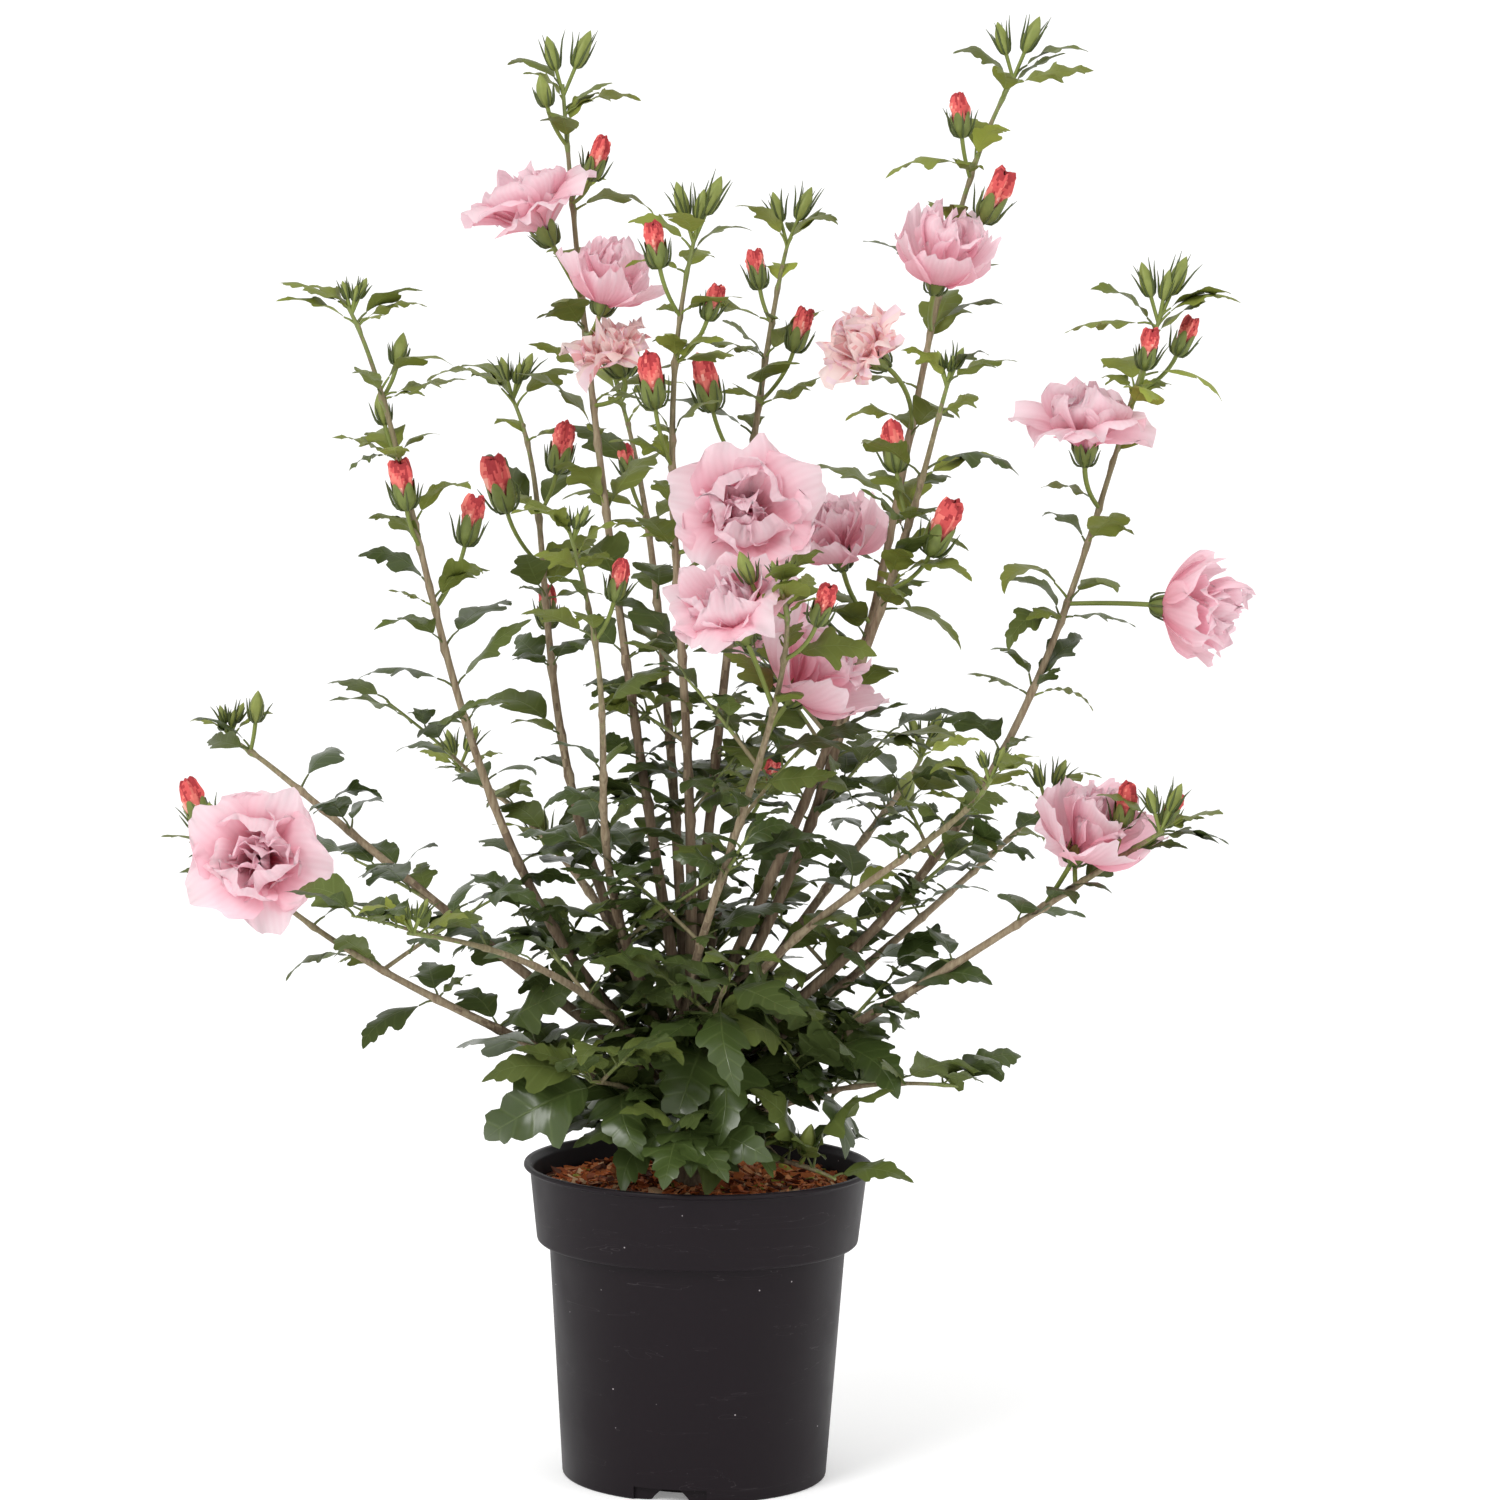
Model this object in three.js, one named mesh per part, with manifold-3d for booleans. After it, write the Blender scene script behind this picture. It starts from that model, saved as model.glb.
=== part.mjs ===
// A double-flowered hibiscus shrub in its black nursery pot.
// Millimetres, +Z up. The origin is the centre of the pot's underside, and -Y is the shrub's front.
import * as THREE from "three";
import { mergeVertices } from "three/addons/utils/BufferGeometryUtils.js";
import Module from "manifold-3d";

const wasm = await Module();
wasm.setup();

// ---------------------------------------------------------------- driving dimensions

const GAP = 0.3; // the clearance that two touching pieces keep
const GROWN = 0.5; // how much larger a piece is drawn to test whether it has room

// The pot: a 23 cm blow-moulded nursery pot with a deep collar.
const RIM_RADIUS = 115;
const POT_HEIGHT = 207;
const LIP_HEIGHT = 3;
const COLLAR_TOP_RADIUS = 110.8;
const COLLAR_FOOT_RADIUS = 105.5;
const COLLAR_FOOT = 155.5; // the height of the step under the collar
const BODY_TOP_RADIUS = 97.5;
const BASE_RADIUS = 87;
const POT_WALL = 2.2;
const FOOT_RISE = 9; // the ring channel in the underside, and the notches that drain it
const FOOT_RING_WIDTH = 6;
const CHANNEL_INNER_RADIUS = 62;
const NOTCH_COUNT = 3;
const NOTCH_WIDTH = 48;
const FRONT_NOTCH_HEADING = -100; // degrees, where 0 is +X and 90 is the back
const DRAIN_RADIUS = 6;

// The bark mulch over the potting soil: flat round the trunk, a little lower at the wall.
const SOIL_TOP = 195;
const SOIL_EDGE = 191.5;
const SOIL_FLAT_RADIUS = 45;

// The trunk: short and stout, with a flare where it meets the soil.
const TRUNK_FOOT = new THREE.Vector3(-4, 0, SOIL_TOP + GAP);
const TRUNK_FORK = new THREE.Vector3(-8, 0, 286);
const TRUNK_FOOT_RADIUS = 15;
const TRUNK_FORK_RADIUS = 11;
const TRUNK_FLARE = 7; // how much wider the root flare is than the trunk just above it
const TRUNK_FLARE_HEIGHT = 14;

// The wands: the long stems that fan out of the trunk.
const WAND_FOOT_RADIUS = 4.3;
const WAND_TIP_RADIUS = 1.5;
const BOUGH_SHARE = 0.17; // the bare share of a wand, before its leafy and flowering part
const EARLY_DEPTH = 0.12; // how much of its depth a wand has gained at its first handle
const LATE_DEPTH = 0.6; // and at its second

// Each wand leaves the trunk at the height foot, is pulled towards low and high (x and z) and
// ends at tip (x, y and z). buds is how many green buds stand round its tip.
const WANDS = [
  { name: "left_tall", foot: 262, low: [-175, 380], high: [-175, 660], tip: [-230, -60, 765], buds: 3 },
  { name: "left_mid", foot: 270, low: [-135, 460], high: [-90, 625], tip: [-135, 120, 705], buds: 3 },
  { name: "left_front", foot: 250, low: [-105, 445], high: [-35, 460], tip: [-85, -140, 630], buds: 3 },
  { name: "left_top", foot: 282, low: [-55, 530], high: [-85, 745], tip: [-100, 60, 910], buds: 2 },
  { name: "centre_back", foot: 280, low: [-25, 545], high: [-40, 640], tip: [-65, 210, 705], buds: 2 },
  { name: "centre_top", foot: 284, low: [0, 540], high: [-45, 665], tip: [-10, -50, 815], buds: 3 },
  { name: "centre_right", foot: 280, low: [10, 540], high: [35, 755], tip: [50, 140, 810], buds: 2 },
  { name: "right_top", foot: 274, low: [145, 505], high: [115, 785], tip: [198, 50, 924], buds: 2 },
  { name: "right_front", foot: 278, low: [130, 580], high: [135, 665], tip: [150, -110, 725], buds: 3 },
  { name: "right_tall", foot: 262, low: [225, 420], high: [230, 590], tip: [290, -20, 770], buds: 3 },
  { name: "right_inner", foot: 255, low: [25, 370], high: [160, 425], tip: [180, -150, 480], buds: 2 },
  { name: "right_low", foot: 236, low: [155, 330], high: [260, 420], tip: [290, -120, 445], buds: 2 },
  { name: "left_low", foot: 234, low: [-155, 310], high: [-220, 335], tip: [-298, -110, 418], buds: 2 },
  { name: "left_far", foot: 248, low: [-240, 420], high: [-280, 460], tip: [-320, 80, 475], buds: 3 },
  { name: "front_left", foot: 240, low: [-55, 325], high: [-115, 365], tip: [-180, -185, 382], buds: 2 },
  { name: "front_centre", foot: 258, low: [-45, 290], high: [80, 550], tip: [45, -190, 600], buds: 2 },
  { name: "back_right", foot: 260, low: [110, 435], high: [135, 435], tip: [150, 230, 455], buds: 2 },
  { name: "back_left", foot: 266, low: [-70, 400], high: [-130, 430], tip: [-175, 225, 440], buds: 2 },
  { name: "back_centre", foot: 252, low: [10, 400], high: [25, 430], tip: [30, 290, 430], buds: 2 },
  { name: "back_far_right", foot: 244, low: [130, 350], high: [190, 400], tip: [235, 165, 430], buds: 2 },
];

// The low shoots: leafy side growth straight from the trunk, by heading, rise (degrees) and length.
const SHOOTS = [
  { name: "low_shoot_front", foot: 216, heading: -95, rise: 22, length: 96 },
  { name: "low_shoot_rim", foot: 208, heading: -37, rise: 8, length: 118 },
  { name: "low_shoot_right", foot: 224, heading: -14, rise: 20, length: 190 },
  { name: "low_shoot_back_right", foot: 214, heading: 38, rise: 18, length: 125 },
  { name: "low_shoot_back", foot: 220, heading: 88, rise: 24, length: 130 },
  { name: "low_shoot_back_left", foot: 212, heading: 142, rise: 16, length: 130 },
  { name: "low_shoot_left", foot: 218, heading: 196, rise: 14, length: 112 },
  { name: "low_shoot_front_left", foot: 226, heading: 232, rise: 30, length: 120 },
  { name: "inner_shoot_front", foot: 246, heading: -72, rise: 52, length: 135 },
  { name: "inner_shoot_right", foot: 240, heading: 8, rise: 50, length: 150 },
  { name: "inner_shoot_back", foot: 242, heading: 112, rise: 54, length: 150 },
  { name: "inner_shoot_left", foot: 250, heading: 172, rise: 56, length: 140 },
];
const SHOOT_FOOT_RADIUS = 2.8;
const SHOOT_TIP_RADIUS = 1.3;
const SHOOT_SAG = 0.12; // how far a low shoot's tip curves back down, as a share of its length

// Blooms: wand, the share of the wand where the flower stalk leaves it, the calyx from there
// (x, y, z), the way the bloom faces (heading and rise in degrees), its width, and its depth
// as a share of that width.
const BLOOMS = [
  { wand: "left_top", at: 0.74, calyx: [-18, -22, 33], heading: 190, rise: 60, width: 90, depth: 0.42 },
  { wand: "left_top", at: 0.7, calyx: [10, -37, 4], heading: -40, rise: 68, width: 60, depth: 0.62 },
  { wand: "left_top", at: 0.62, calyx: [14, -28, 20], heading: 215, rise: 55, width: 60, depth: 0.5 },
  { wand: "right_top", at: 0.68, calyx: [0, -28, 24], heading: -66, rise: 62, width: 66, depth: 0.68 },
  { wand: "right_top", at: 0.58, calyx: [-17, -42, 42], heading: 215, rise: 34, width: 60, depth: 0.5 },
  { wand: "centre_top", at: 0.54, calyx: [41, -40, 20], heading: -84, rise: 16, width: 98, depth: 0.46 },
  { wand: "right_top", at: 0.4, calyx: [-19, -30, 37], heading: -115, rise: 60, width: 64, depth: 0.6 },
  { wand: "front_centre", at: 0.72, calyx: [-17, -30, 44], heading: -118, rise: 46, width: 84, depth: 0.5 },
  { wand: "front_centre", at: 0.6, calyx: [21, 12, 50], heading: -28, rise: 48, width: 80, depth: 0.56 },
  { wand: "right_tall", at: 0.76, calyx: [-11, -18, 27], heading: -95, rise: 76, width: 92, depth: 0.4 },
  { wand: "right_tall", at: 0.64, calyx: [52, -10, 1], heading: -12, rise: -2, width: 72, depth: 0.62 },
  { wand: "right_low", at: 0.6, calyx: [13, -15, 26], heading: -50, rise: 54, width: 76, depth: 0.6 },
  { wand: "left_low", at: 0.89, calyx: [-2, -22, 25], heading: -92, rise: 10, width: 92, depth: 0.44 },
  { wand: "centre_right", at: 0.46, calyx: [-6, 38, 10], heading: 85, rise: 28, width: 86, depth: 0.45 },
  { wand: "centre_right", at: 0.37, calyx: [16, 40, 6], heading: 80, rise: 15, width: 70, depth: 0.5 },
  { wand: "left_low", at: 0.96, calyx: [6, 24, 6], heading: 95, rise: 8, width: 60, depth: 0.5 },
  { wand: "right_low", at: 0.68, calyx: [2, 28, 28], heading: 80, rise: 8, width: 58, depth: 0.5 },
];

// Coral buds about to open, and green ones lower on the wand: where their stalk leaves and where
// it ends.
const BUDS = [
  { wand: "left_top", at: 0.85, base: [12, -14, 15], open: true },
  { wand: "left_top", at: 0.92, base: [-13, -8, 25], open: false },
  { wand: "centre_top", at: 0.66, base: [-11, -20, 38], open: true },
  { wand: "centre_top", at: 0.81, base: [20, -12, 28], open: true },
  { wand: "centre_top", at: 0.88, base: [-13, -15, 30], open: true },
  { wand: "centre_right", at: 0.56, base: [-24, -25, 44], open: true },
  { wand: "centre_right", at: 0.66, base: [22, -10, 34], open: true },
  { wand: "centre_right", at: 0.79, base: [-8, 10, 22], open: true },
  { wand: "right_top", at: 0.85, base: [-6, -5, 26], open: true },
  { wand: "right_top", at: 0.77, base: [20, -14, 16], open: true },
  { wand: "right_front", at: 0.61, base: [-8, 12, 32], open: true },
  { wand: "right_front", at: 0.49, base: [26, -15, 24], open: true },
  { wand: "front_centre", at: 0.81, base: [19, -22, 23], open: true },
  { wand: "front_centre", at: 0.9, base: [-22, -14, 22], open: false },
  { wand: "left_tall", at: 0.59, base: [18, 12, 40], open: true },
  { wand: "left_tall", at: 0.66, base: [-8, -14, 25], open: true },
  { wand: "left_tall", at: 0.76, base: [-11, 10, 25], open: false },
  { wand: "left_tall", at: 0.85, base: [8, 10, 20], open: false },
  { wand: "left_mid", at: 0.65, base: [-23, -20, 37], open: true },
  { wand: "left_mid", at: 0.74, base: [12, -12, 28], open: true },
  { wand: "centre_back", at: 0.66, base: [-12, 16, 26], open: true },
  { wand: "left_front", at: 0.84, base: [12, -14, 26], open: true },
  { wand: "right_tall", at: 0.88, base: [8, -12, 26], open: true },
  { wand: "right_tall", at: 0.9, base: [27, 10, 24], open: true },
  { wand: "right_low", at: 0.78, base: [6, -12, 24], open: true },
  { wand: "right_low", at: 0.87, base: [18, 12, 12], open: true },
  { wand: "left_low", at: 0.93, base: [-34, 16, 30], open: true },
  { wand: "back_left", at: 0.8, base: [-12, 18, 30], open: true },
  { wand: "back_centre", at: 0.6, base: [18, 20, 30], open: true },
  { wand: "back_right", at: 0.82, base: [14, 14, 28], open: true },
  { wand: "back_far_right", at: 0.84, base: [10, 16, 26], open: true },
  { wand: "centre_right", at: 0.9, base: [-12, 22, 22], open: true },
  { wand: "left_mid", at: 0.5, base: [-8, 30, 30], open: true },
];
const BUD_LENGTH = 31;
const BUD_WIDTH = 13;
const BUD_WIDEST = 0.45; // where it is widest, as a share of its length
const BUD_SUNK = 2; // how far it sits down over its stalk
const GREEN_BUD_SHARE = 0.66; // the size of a green bud beside a coral one
const TIP_BUD_REACH = 36; // the green buds round a wand's tip, with their short stalks
const TIP_BUD_TURN = 165; // degrees from one of them to the next
const TIP_BUD_WIDTH = 9;
const TIP_BUD_WIDEST = 0.7;
const STALK_RADIUS = 1.4;
const CALYX_RADIUS = 6.5;
const CALYX_LENGTH = 17;

// Leaves: a rhombic blade on a short stalk, drawn here as one thin blade.
const LEAF_LENGTH = 64; // with its stalk
const LEAF_WIDTH = 0.5; // shares of the leaf's length
const LEAF_WIDEST = 0.56;
const LEAF_STALK = 0.2;
const LEAF_ARCH = 0.1;
const LEAF_THICKNESS = 0.022;
const NODE_SPACING = 50; // between two leaf nodes on a wand
const SHOOT_SPACING = 32; // and on a low shoot
const NODE_TURN = 137.5; // degrees from one leaf to the next round the stem
const DENSE_TOP = 500; // below this height most nodes also carry a side twig
const TWIG_SHARE = 0.58;
const TWIG_LENGTH = 74;
const TWIG_RADIUS = 1.5;
const FIRST_NODE = 0.05; // of the leafy part, from where it starts
const LAST_NODE = 0.97;
const FIRST_SEED = 7019; // of the random growth, one seed for each leafy part
const SEED_STEP = 131;

// ---------------------------------------------------------------- small helpers

const UP = new THREE.Vector3(0, 0, 1);
const radians = THREE.MathUtils.degToRad;

// The direction of a heading and a rise, both in degrees.
function direction(heading, rise) {
  const level = Math.cos(radians(rise));
  return new THREE.Vector3(
    level * Math.cos(radians(heading)),
    level * Math.sin(radians(heading)),
    Math.sin(radians(rise)),
  );
}

// A small repeatable random generator: the same seed always grows the same plant.
function randomFrom(seed) {
  let state = seed;
  return () => {
    state = (state * 48271) % 2147483647;
    return state / 2147483647;
  };
}

// A closed geometry as a solid that can be joined and cut.
function solidOf(geometry) {
  const bare = geometry.clone();
  bare.deleteAttribute("normal");
  bare.deleteAttribute("uv");
  const merged = mergeVertices(bare, 1e-4);
  const corners = merged.index.array;
  const faces = [];
  for (let i = 0; i < corners.length; i += 3) {
    const [a, b, c] = [corners[i], corners[i + 1], corners[i + 2]];
    if (a !== b && b !== c && c !== a) faces.push(a, b, c);
  }
  const mesh = new wasm.Mesh({
    numProp: 3,
    vertProperties: merged.attributes.position.array,
    triVerts: new Uint32Array(faces),
  });
  return new wasm.Manifold(mesh);
}

// The solid's largest piece: a cut can leave a scrap beside it.
function largestPiece(solid) {
  const pieces = solid.decompose();
  pieces.sort((a, b) => b.volume() - a.volume());
  return pieces[0];
}

// Turns a geometry's +Y axis to a direction and moves it to a point.
function aimed(geometry, along, at) {
  const turn = new THREE.Quaternion().setFromUnitVectors(new THREE.Vector3(0, 1, 0), along);
  return geometry.applyQuaternion(turn).translate(at.x, at.y, at.z);
}

// A tapering limb along a curve between two of its shares. radiusAt gives the radius at a share.
// Its sections stand square to the curve, or square to the direction upright where that is given.
function limb(curve, from, to, radiusAt, sides, steps, upright) {
  const geometry = new THREE.CylinderGeometry(1, 1, 1, sides, steps);
  const places = geometry.attributes.position;
  for (let i = 0; i < places.count; i++) {
    const share = THREE.MathUtils.lerp(from, to, places.getY(i) + 0.5);
    const centre = curve.getPoint(share);
    const along = upright || curve.getTangent(share);
    const side = new THREE.Vector3().crossVectors(along, new THREE.Vector3(0.3, 1, 0.1)).normalize();
    const front = new THREE.Vector3().crossVectors(along, side);
    const radius = radiusAt(share);
    centre.addScaledVector(side, places.getX(i) * radius);
    centre.addScaledVector(front, -places.getZ(i) * radius);
    places.setXYZ(i, centre.x, centre.y, centre.z);
  }
  return geometry;
}

// ---------------------------------------------------------------- pot and mulch

// A profile of [radius, height] pairs turned round the Z axis.
function turned(profile, segments) {
  const points = profile.map(([radius, height]) => new THREE.Vector2(radius, height));
  return new THREE.LatheGeometry(points, segments).rotateX(Math.PI / 2);
}

const bodyInside = BODY_TOP_RADIUS - POT_WALL;
const baseInside = BASE_RADIUS - POT_WALL;
const collarInside = COLLAR_FOOT_RADIUS - POT_WALL;
const lipFoot = POT_HEIGHT - LIP_HEIGHT;
const channelFloor = FOOT_RISE + POT_WALL;
const channelOuterRadius = BASE_RADIUS - FOOT_RING_WIDTH;

function makePot() {
  const outside = [
    [0, 0],
    [CHANNEL_INNER_RADIUS - 2, 0],
    [CHANNEL_INNER_RADIUS, FOOT_RISE],
    [channelOuterRadius, FOOT_RISE],
    [channelOuterRadius + 1, 0],
    [BASE_RADIUS, 0],
    [BODY_TOP_RADIUS, COLLAR_FOOT],
    [COLLAR_FOOT_RADIUS, COLLAR_FOOT],
    [COLLAR_TOP_RADIUS, lipFoot - 1],
    [RIM_RADIUS, lipFoot + 0.6],
    [RIM_RADIUS - 0.6, POT_HEIGHT],
  ];
  const inside = [
    [COLLAR_TOP_RADIUS + 0.4, POT_HEIGHT],
    [COLLAR_TOP_RADIUS - POT_WALL, lipFoot - 1],
    [collarInside, COLLAR_FOOT + POT_WALL],
    [bodyInside, COLLAR_FOOT - 0.5],
    [baseInside + 0.8, channelFloor],
    [CHANNEL_INNER_RADIUS - 1, channelFloor],
    [CHANNEL_INNER_RADIUS - 3, POT_WALL],
    [0, POT_WALL],
  ];
  let pot = solidOf(turned([...outside, ...inside], 32));
  for (let k = 0; k < NOTCH_COUNT; k++) {
    const heading = FRONT_NOTCH_HEADING + (360 / NOTCH_COUNT) * k;
    const notch = new THREE.BoxGeometry(30, NOTCH_WIDTH, 2 * FOOT_RISE - 0.4);
    notch.translate(BASE_RADIUS + 9, 0, 0).rotateZ(radians(heading));
    pot = pot.subtract(solidOf(notch));
    const drain = new THREE.CylinderGeometry(DRAIN_RADIUS, DRAIN_RADIUS, 4 * POT_WALL, 8);
    drain.rotateX(Math.PI / 2).translate((CHANNEL_INNER_RADIUS + channelOuterRadius) / 2, 0, FOOT_RISE);
    pot = pot.subtract(solidOf(drain.rotateZ(radians(heading))));
  }
  return pot;
}

function makeMulch() {
  const edgeRadius = COLLAR_TOP_RADIUS - POT_WALL - GAP - (lipFoot - SOIL_EDGE) * 0.11;
  return solidOf(
    turned(
      [
        [0, POT_WALL + GAP],
        [CHANNEL_INNER_RADIUS - 3 - GAP, POT_WALL + GAP],
        [CHANNEL_INNER_RADIUS - 1 - GAP, channelFloor + GAP],
        [baseInside + 0.8 - GAP, channelFloor + GAP],
        [bodyInside - GAP, COLLAR_FOOT - 0.5],
        [collarInside - GAP, COLLAR_FOOT + POT_WALL + GAP],
        [edgeRadius, SOIL_EDGE],
        [SOIL_FLAT_RADIUS, SOIL_TOP],
        [0, SOIL_TOP],
      ],
      32,
    ),
  );
}

// ---------------------------------------------------------------- trunk, wands and shoots

// The trunk's own line, and its radius at a share of its height.
const trunkLine = new THREE.LineCurve3(TRUNK_FOOT, TRUNK_FORK);
const trunkHeight = TRUNK_FORK.z - TRUNK_FOOT.z;

function trunkRadius(share) {
  const taper = THREE.MathUtils.lerp(TRUNK_FOOT_RADIUS, TRUNK_FORK_RADIUS, share);
  return taper + TRUNK_FLARE * Math.exp((-share * trunkHeight) / TRUNK_FLARE_HEIGHT);
}

// The point on the trunk's line at a height.
function onTrunk(height) {
  return trunkLine.getPoint((height - TRUNK_FOOT.z) / trunkHeight);
}

function wandCurve({ foot, low, high, tip }) {
  return new THREE.CubicBezierCurve3(
    onTrunk(foot),
    new THREE.Vector3(low[0], tip[1] * EARLY_DEPTH, low[1]),
    new THREE.Vector3(high[0], tip[1] * LATE_DEPTH, high[1]),
    new THREE.Vector3(...tip),
  );
}

function shootCurve({ foot, heading, rise, length }) {
  const start = onTrunk(foot);
  const middle = start.clone().addScaledVector(direction(heading, rise + 8), length * 0.55);
  const end = start.clone().addScaledVector(direction(heading, rise), length);
  end.z -= SHOOT_SAG * length * Math.cos(radians(rise));
  return new THREE.QuadraticBezierCurve3(start, middle, end);
}

const wandRadius = (share) => THREE.MathUtils.lerp(WAND_FOOT_RADIUS, WAND_TIP_RADIUS, share);
const shootRadius = (share) => THREE.MathUtils.lerp(SHOOT_FOOT_RADIUS, SHOOT_TIP_RADIUS, share);

// How far a curve's share moves for one millimetre of its length, near a share.
function shareOfMillimetre(curve, share) {
  const ahead = curve.getPoint(share + 0.001).distanceTo(curve.getPoint(share));
  return 0.001 / ahead;
}

// ---------------------------------------------------------------- leaves, buds and blooms

// One leaf: its stalk's root at a point, pointing along a heading and rise, rolled a little. It is
// a thin spindle of three sides: two edges and a midrib. extra makes the larger blade that tests
// whether the leaf has room.
function leafSolid({ root, heading, rise, roll, length }, extra = 0) {
  const along = direction(heading, rise);
  const across = new THREE.Vector3().crossVectors(UP, along).normalize();
  across.applyAxisAngle(along, radians(roll));
  const face = new THREE.Vector3().crossVectors(along, across);
  const halfWidth = (LEAF_WIDTH * length) / 2 + extra;
  const thickness = LEAF_THICKNESS * length + 2 * extra;
  const widest = root.clone().addScaledVector(along, LEAF_WIDEST * length);
  widest.addScaledVector(face, LEAF_ARCH * length - extra);
  const corners = [
    root.clone(),
    widest.clone().addScaledVector(across, halfWidth),
    widest.clone().addScaledVector(face, thickness),
    widest.clone().addScaledVector(across, -halfWidth),
    root.clone().addScaledVector(along, length + extra),
  ];
  const faces = [0, 1, 3, 0, 2, 1, 0, 3, 2, 4, 3, 1, 4, 1, 2, 4, 2, 3];
  const geometry = new THREE.BufferGeometry().setFromPoints(corners);
  return solidOf(geometry.setIndex(faces));
}

// A thin three-sided twig or stalk that narrows from one point to another, its root sunk in.
function twigSolid(from, to, radius) {
  const along = to.clone().sub(from).normalize();
  const length = from.distanceTo(to) + STALK_RADIUS;
  const geometry = new THREE.ConeGeometry(radius, length, 3, 1);
  return solidOf(aimed(geometry, along, from.clone().addScaledVector(along, length / 2)));
}

// A pointed four-sided spindle, widest at a share of its length.
function spindle(base, along, length, width, widest, extra = 0) {
  const profile = [
    [0, 0],
    [width / 2 + extra, length * widest],
    [0, length + extra],
  ];
  const points = profile.map(([radius, height]) => new THREE.Vector2(radius, height));
  return solidOf(aimed(new THREE.LatheGeometry(points, 4), along, base));
}

// A bloom: five broad petals as a ruffled bowl round a tuft of small ones, on its calyx.
function bloomSolid(base, along, width, depth, extra = 0) {
  const radius = width / 2 + extra;
  const height = width * depth;
  const profile = [
    [0, -2],
    [CALYX_RADIUS, CALYX_LENGTH * 0.4],
    [radius, height],
    [radius * 0.42, height * 0.72],
    [0, height * 0.95],
  ];
  const points = profile.map(([r, h]) => new THREE.Vector2(r, h));
  const geometry = new THREE.LatheGeometry(points, 15);
  const corners = geometry.attributes.position;
  for (let i = 0; i < corners.count; i++) {
    const [x, y, z] = [corners.getX(i), corners.getY(i), corners.getZ(i)];
    const out = Math.hypot(x, z);
    if (out < radius * 0.9) continue;
    const petal = Math.cos(5 * Math.atan2(z, x));
    const stretch = 1 + 0.07 * (petal - 1);
    corners.setXYZ(i, x * stretch, y - 0.09 * height * (1 - petal), z * stretch);
  }
  return solidOf(aimed(geometry, along, base));
}

// ---------------------------------------------------------------- growing the plant

const nodes = new Map(); // node name to solid
const taken = []; // every placed piece, with its owner and its box

function take(owner, solid) {
  taken.push({ owner, solid, box: solid.boundingBox() });
}

// Adds a piece to a leafy part.
function attach(growth, piece) {
  growth.parts.push(piece);
  take(growth.name, piece);
}

function boxesMeet(a, b) {
  return [0, 1, 2].every((k) => a.min[k] < b.max[k] && b.min[k] < a.max[k]);
}

// True where a piece touches nothing that blocks it.
function isClear(solid, blocks) {
  const box = solid.boundingBox();
  return taken.every(
    (other) => !blocks(other) || !boxesMeet(box, other.box) || solid.intersect(other.solid).isEmpty(),
  );
}

// True where a piece of one owner touches nothing of another owner's.
function hasRoom(owner, solid) {
  return isClear(solid, (other) => other.owner !== owner);
}

nodes.set("pot", makePot());
nodes.set("bark_mulch", makeMulch());
nodes.set("trunk", solidOf(limb(trunkLine, 0, 1, trunkRadius, 12, 7, UP)));
for (const [name, solid] of nodes) take(name, solid);

// Boughs are cut clear of the trunk and of the boughs that were there before them.
const STEMS = [
  ...WANDS.map((wand) => ({ ...wand, curve: wandCurve(wand), radiusAt: wandRadius, start: BOUGH_SHARE })),
  ...SHOOTS.map((shoot) => ({ ...shoot, curve: shootCurve(shoot), radiusAt: shootRadius, start: 0 })),
];
let crowded = solidOf(limb(trunkLine, -0.01, 1.003, (share) => trunkRadius(share) + GAP, 12, 7, UP));
for (const stem of STEMS) {
  const { curve, radiusAt } = stem;
  if (stem.start === 0) continue;
  const bough = solidOf(limb(curve, 0, stem.start, radiusAt, 6, 2)).subtract(crowded);
  nodes.set("bough_" + stem.name, largestPiece(bough));
  take("bough_" + stem.name, nodes.get("bough_" + stem.name));
  const wide = (share) => radiusAt(share) + GAP;
  crowded = crowded.add(solidOf(limb(curve, 0, stem.start + 0.002, wide, 6, 2)));
}

// Each leafy part grows on one stem: it starts a gap beyond its bough's end, or at the trunk.
const growths = [];
for (const stem of STEMS) {
  const { curve, radiusAt, start } = stem;
  const name = start === 0 ? stem.name : "leafy_" + stem.name;
  const from = start === 0 ? 0 : start + GAP * shareOfMillimetre(curve, start);
  const steps = start === 0 ? 3 : 6;
  let body = solidOf(limb(curve, from, 1, radiusAt, 4, steps));
  if (start === 0) body = largestPiece(body.subtract(crowded));
  for (const other of growths) {
    if (boxesMeet(body.boundingBox(), other.body.boundingBox())) {
      const wide = (share) => other.radiusAt(share) + GAP;
      body = largestPiece(body.subtract(solidOf(limb(other.curve, other.from, 1, wide, 4, 6))));
    }
  }
  const growth = { ...stem, name, from, body, parts: [body] };
  growths.push(growth);
  take(name, body);
}

const wandNamed = (name) => growths.find((growth) => growth.name === "leafy_" + name);

// Blooms and buds come first, and leaves fill the room they leave.
for (const { wand, at, calyx, heading, rise, width, depth } of BLOOMS) {
  const growth = wandNamed(wand);
  const root = growth.curve.getPoint(at);
  const base = root.clone().add(new THREE.Vector3(...calyx));
  const facing = direction(heading, rise);
  if (!hasRoom(growth.name, bloomSolid(base, facing, width, depth, GROWN))) continue;
  const stalkEnd = base.clone().addScaledVector(facing, CALYX_LENGTH / 2);
  attach(growth, bloomSolid(base, facing, width, depth));
  attach(growth, twigSolid(root, stalkEnd, STALK_RADIUS * 1.2));
}

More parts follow.
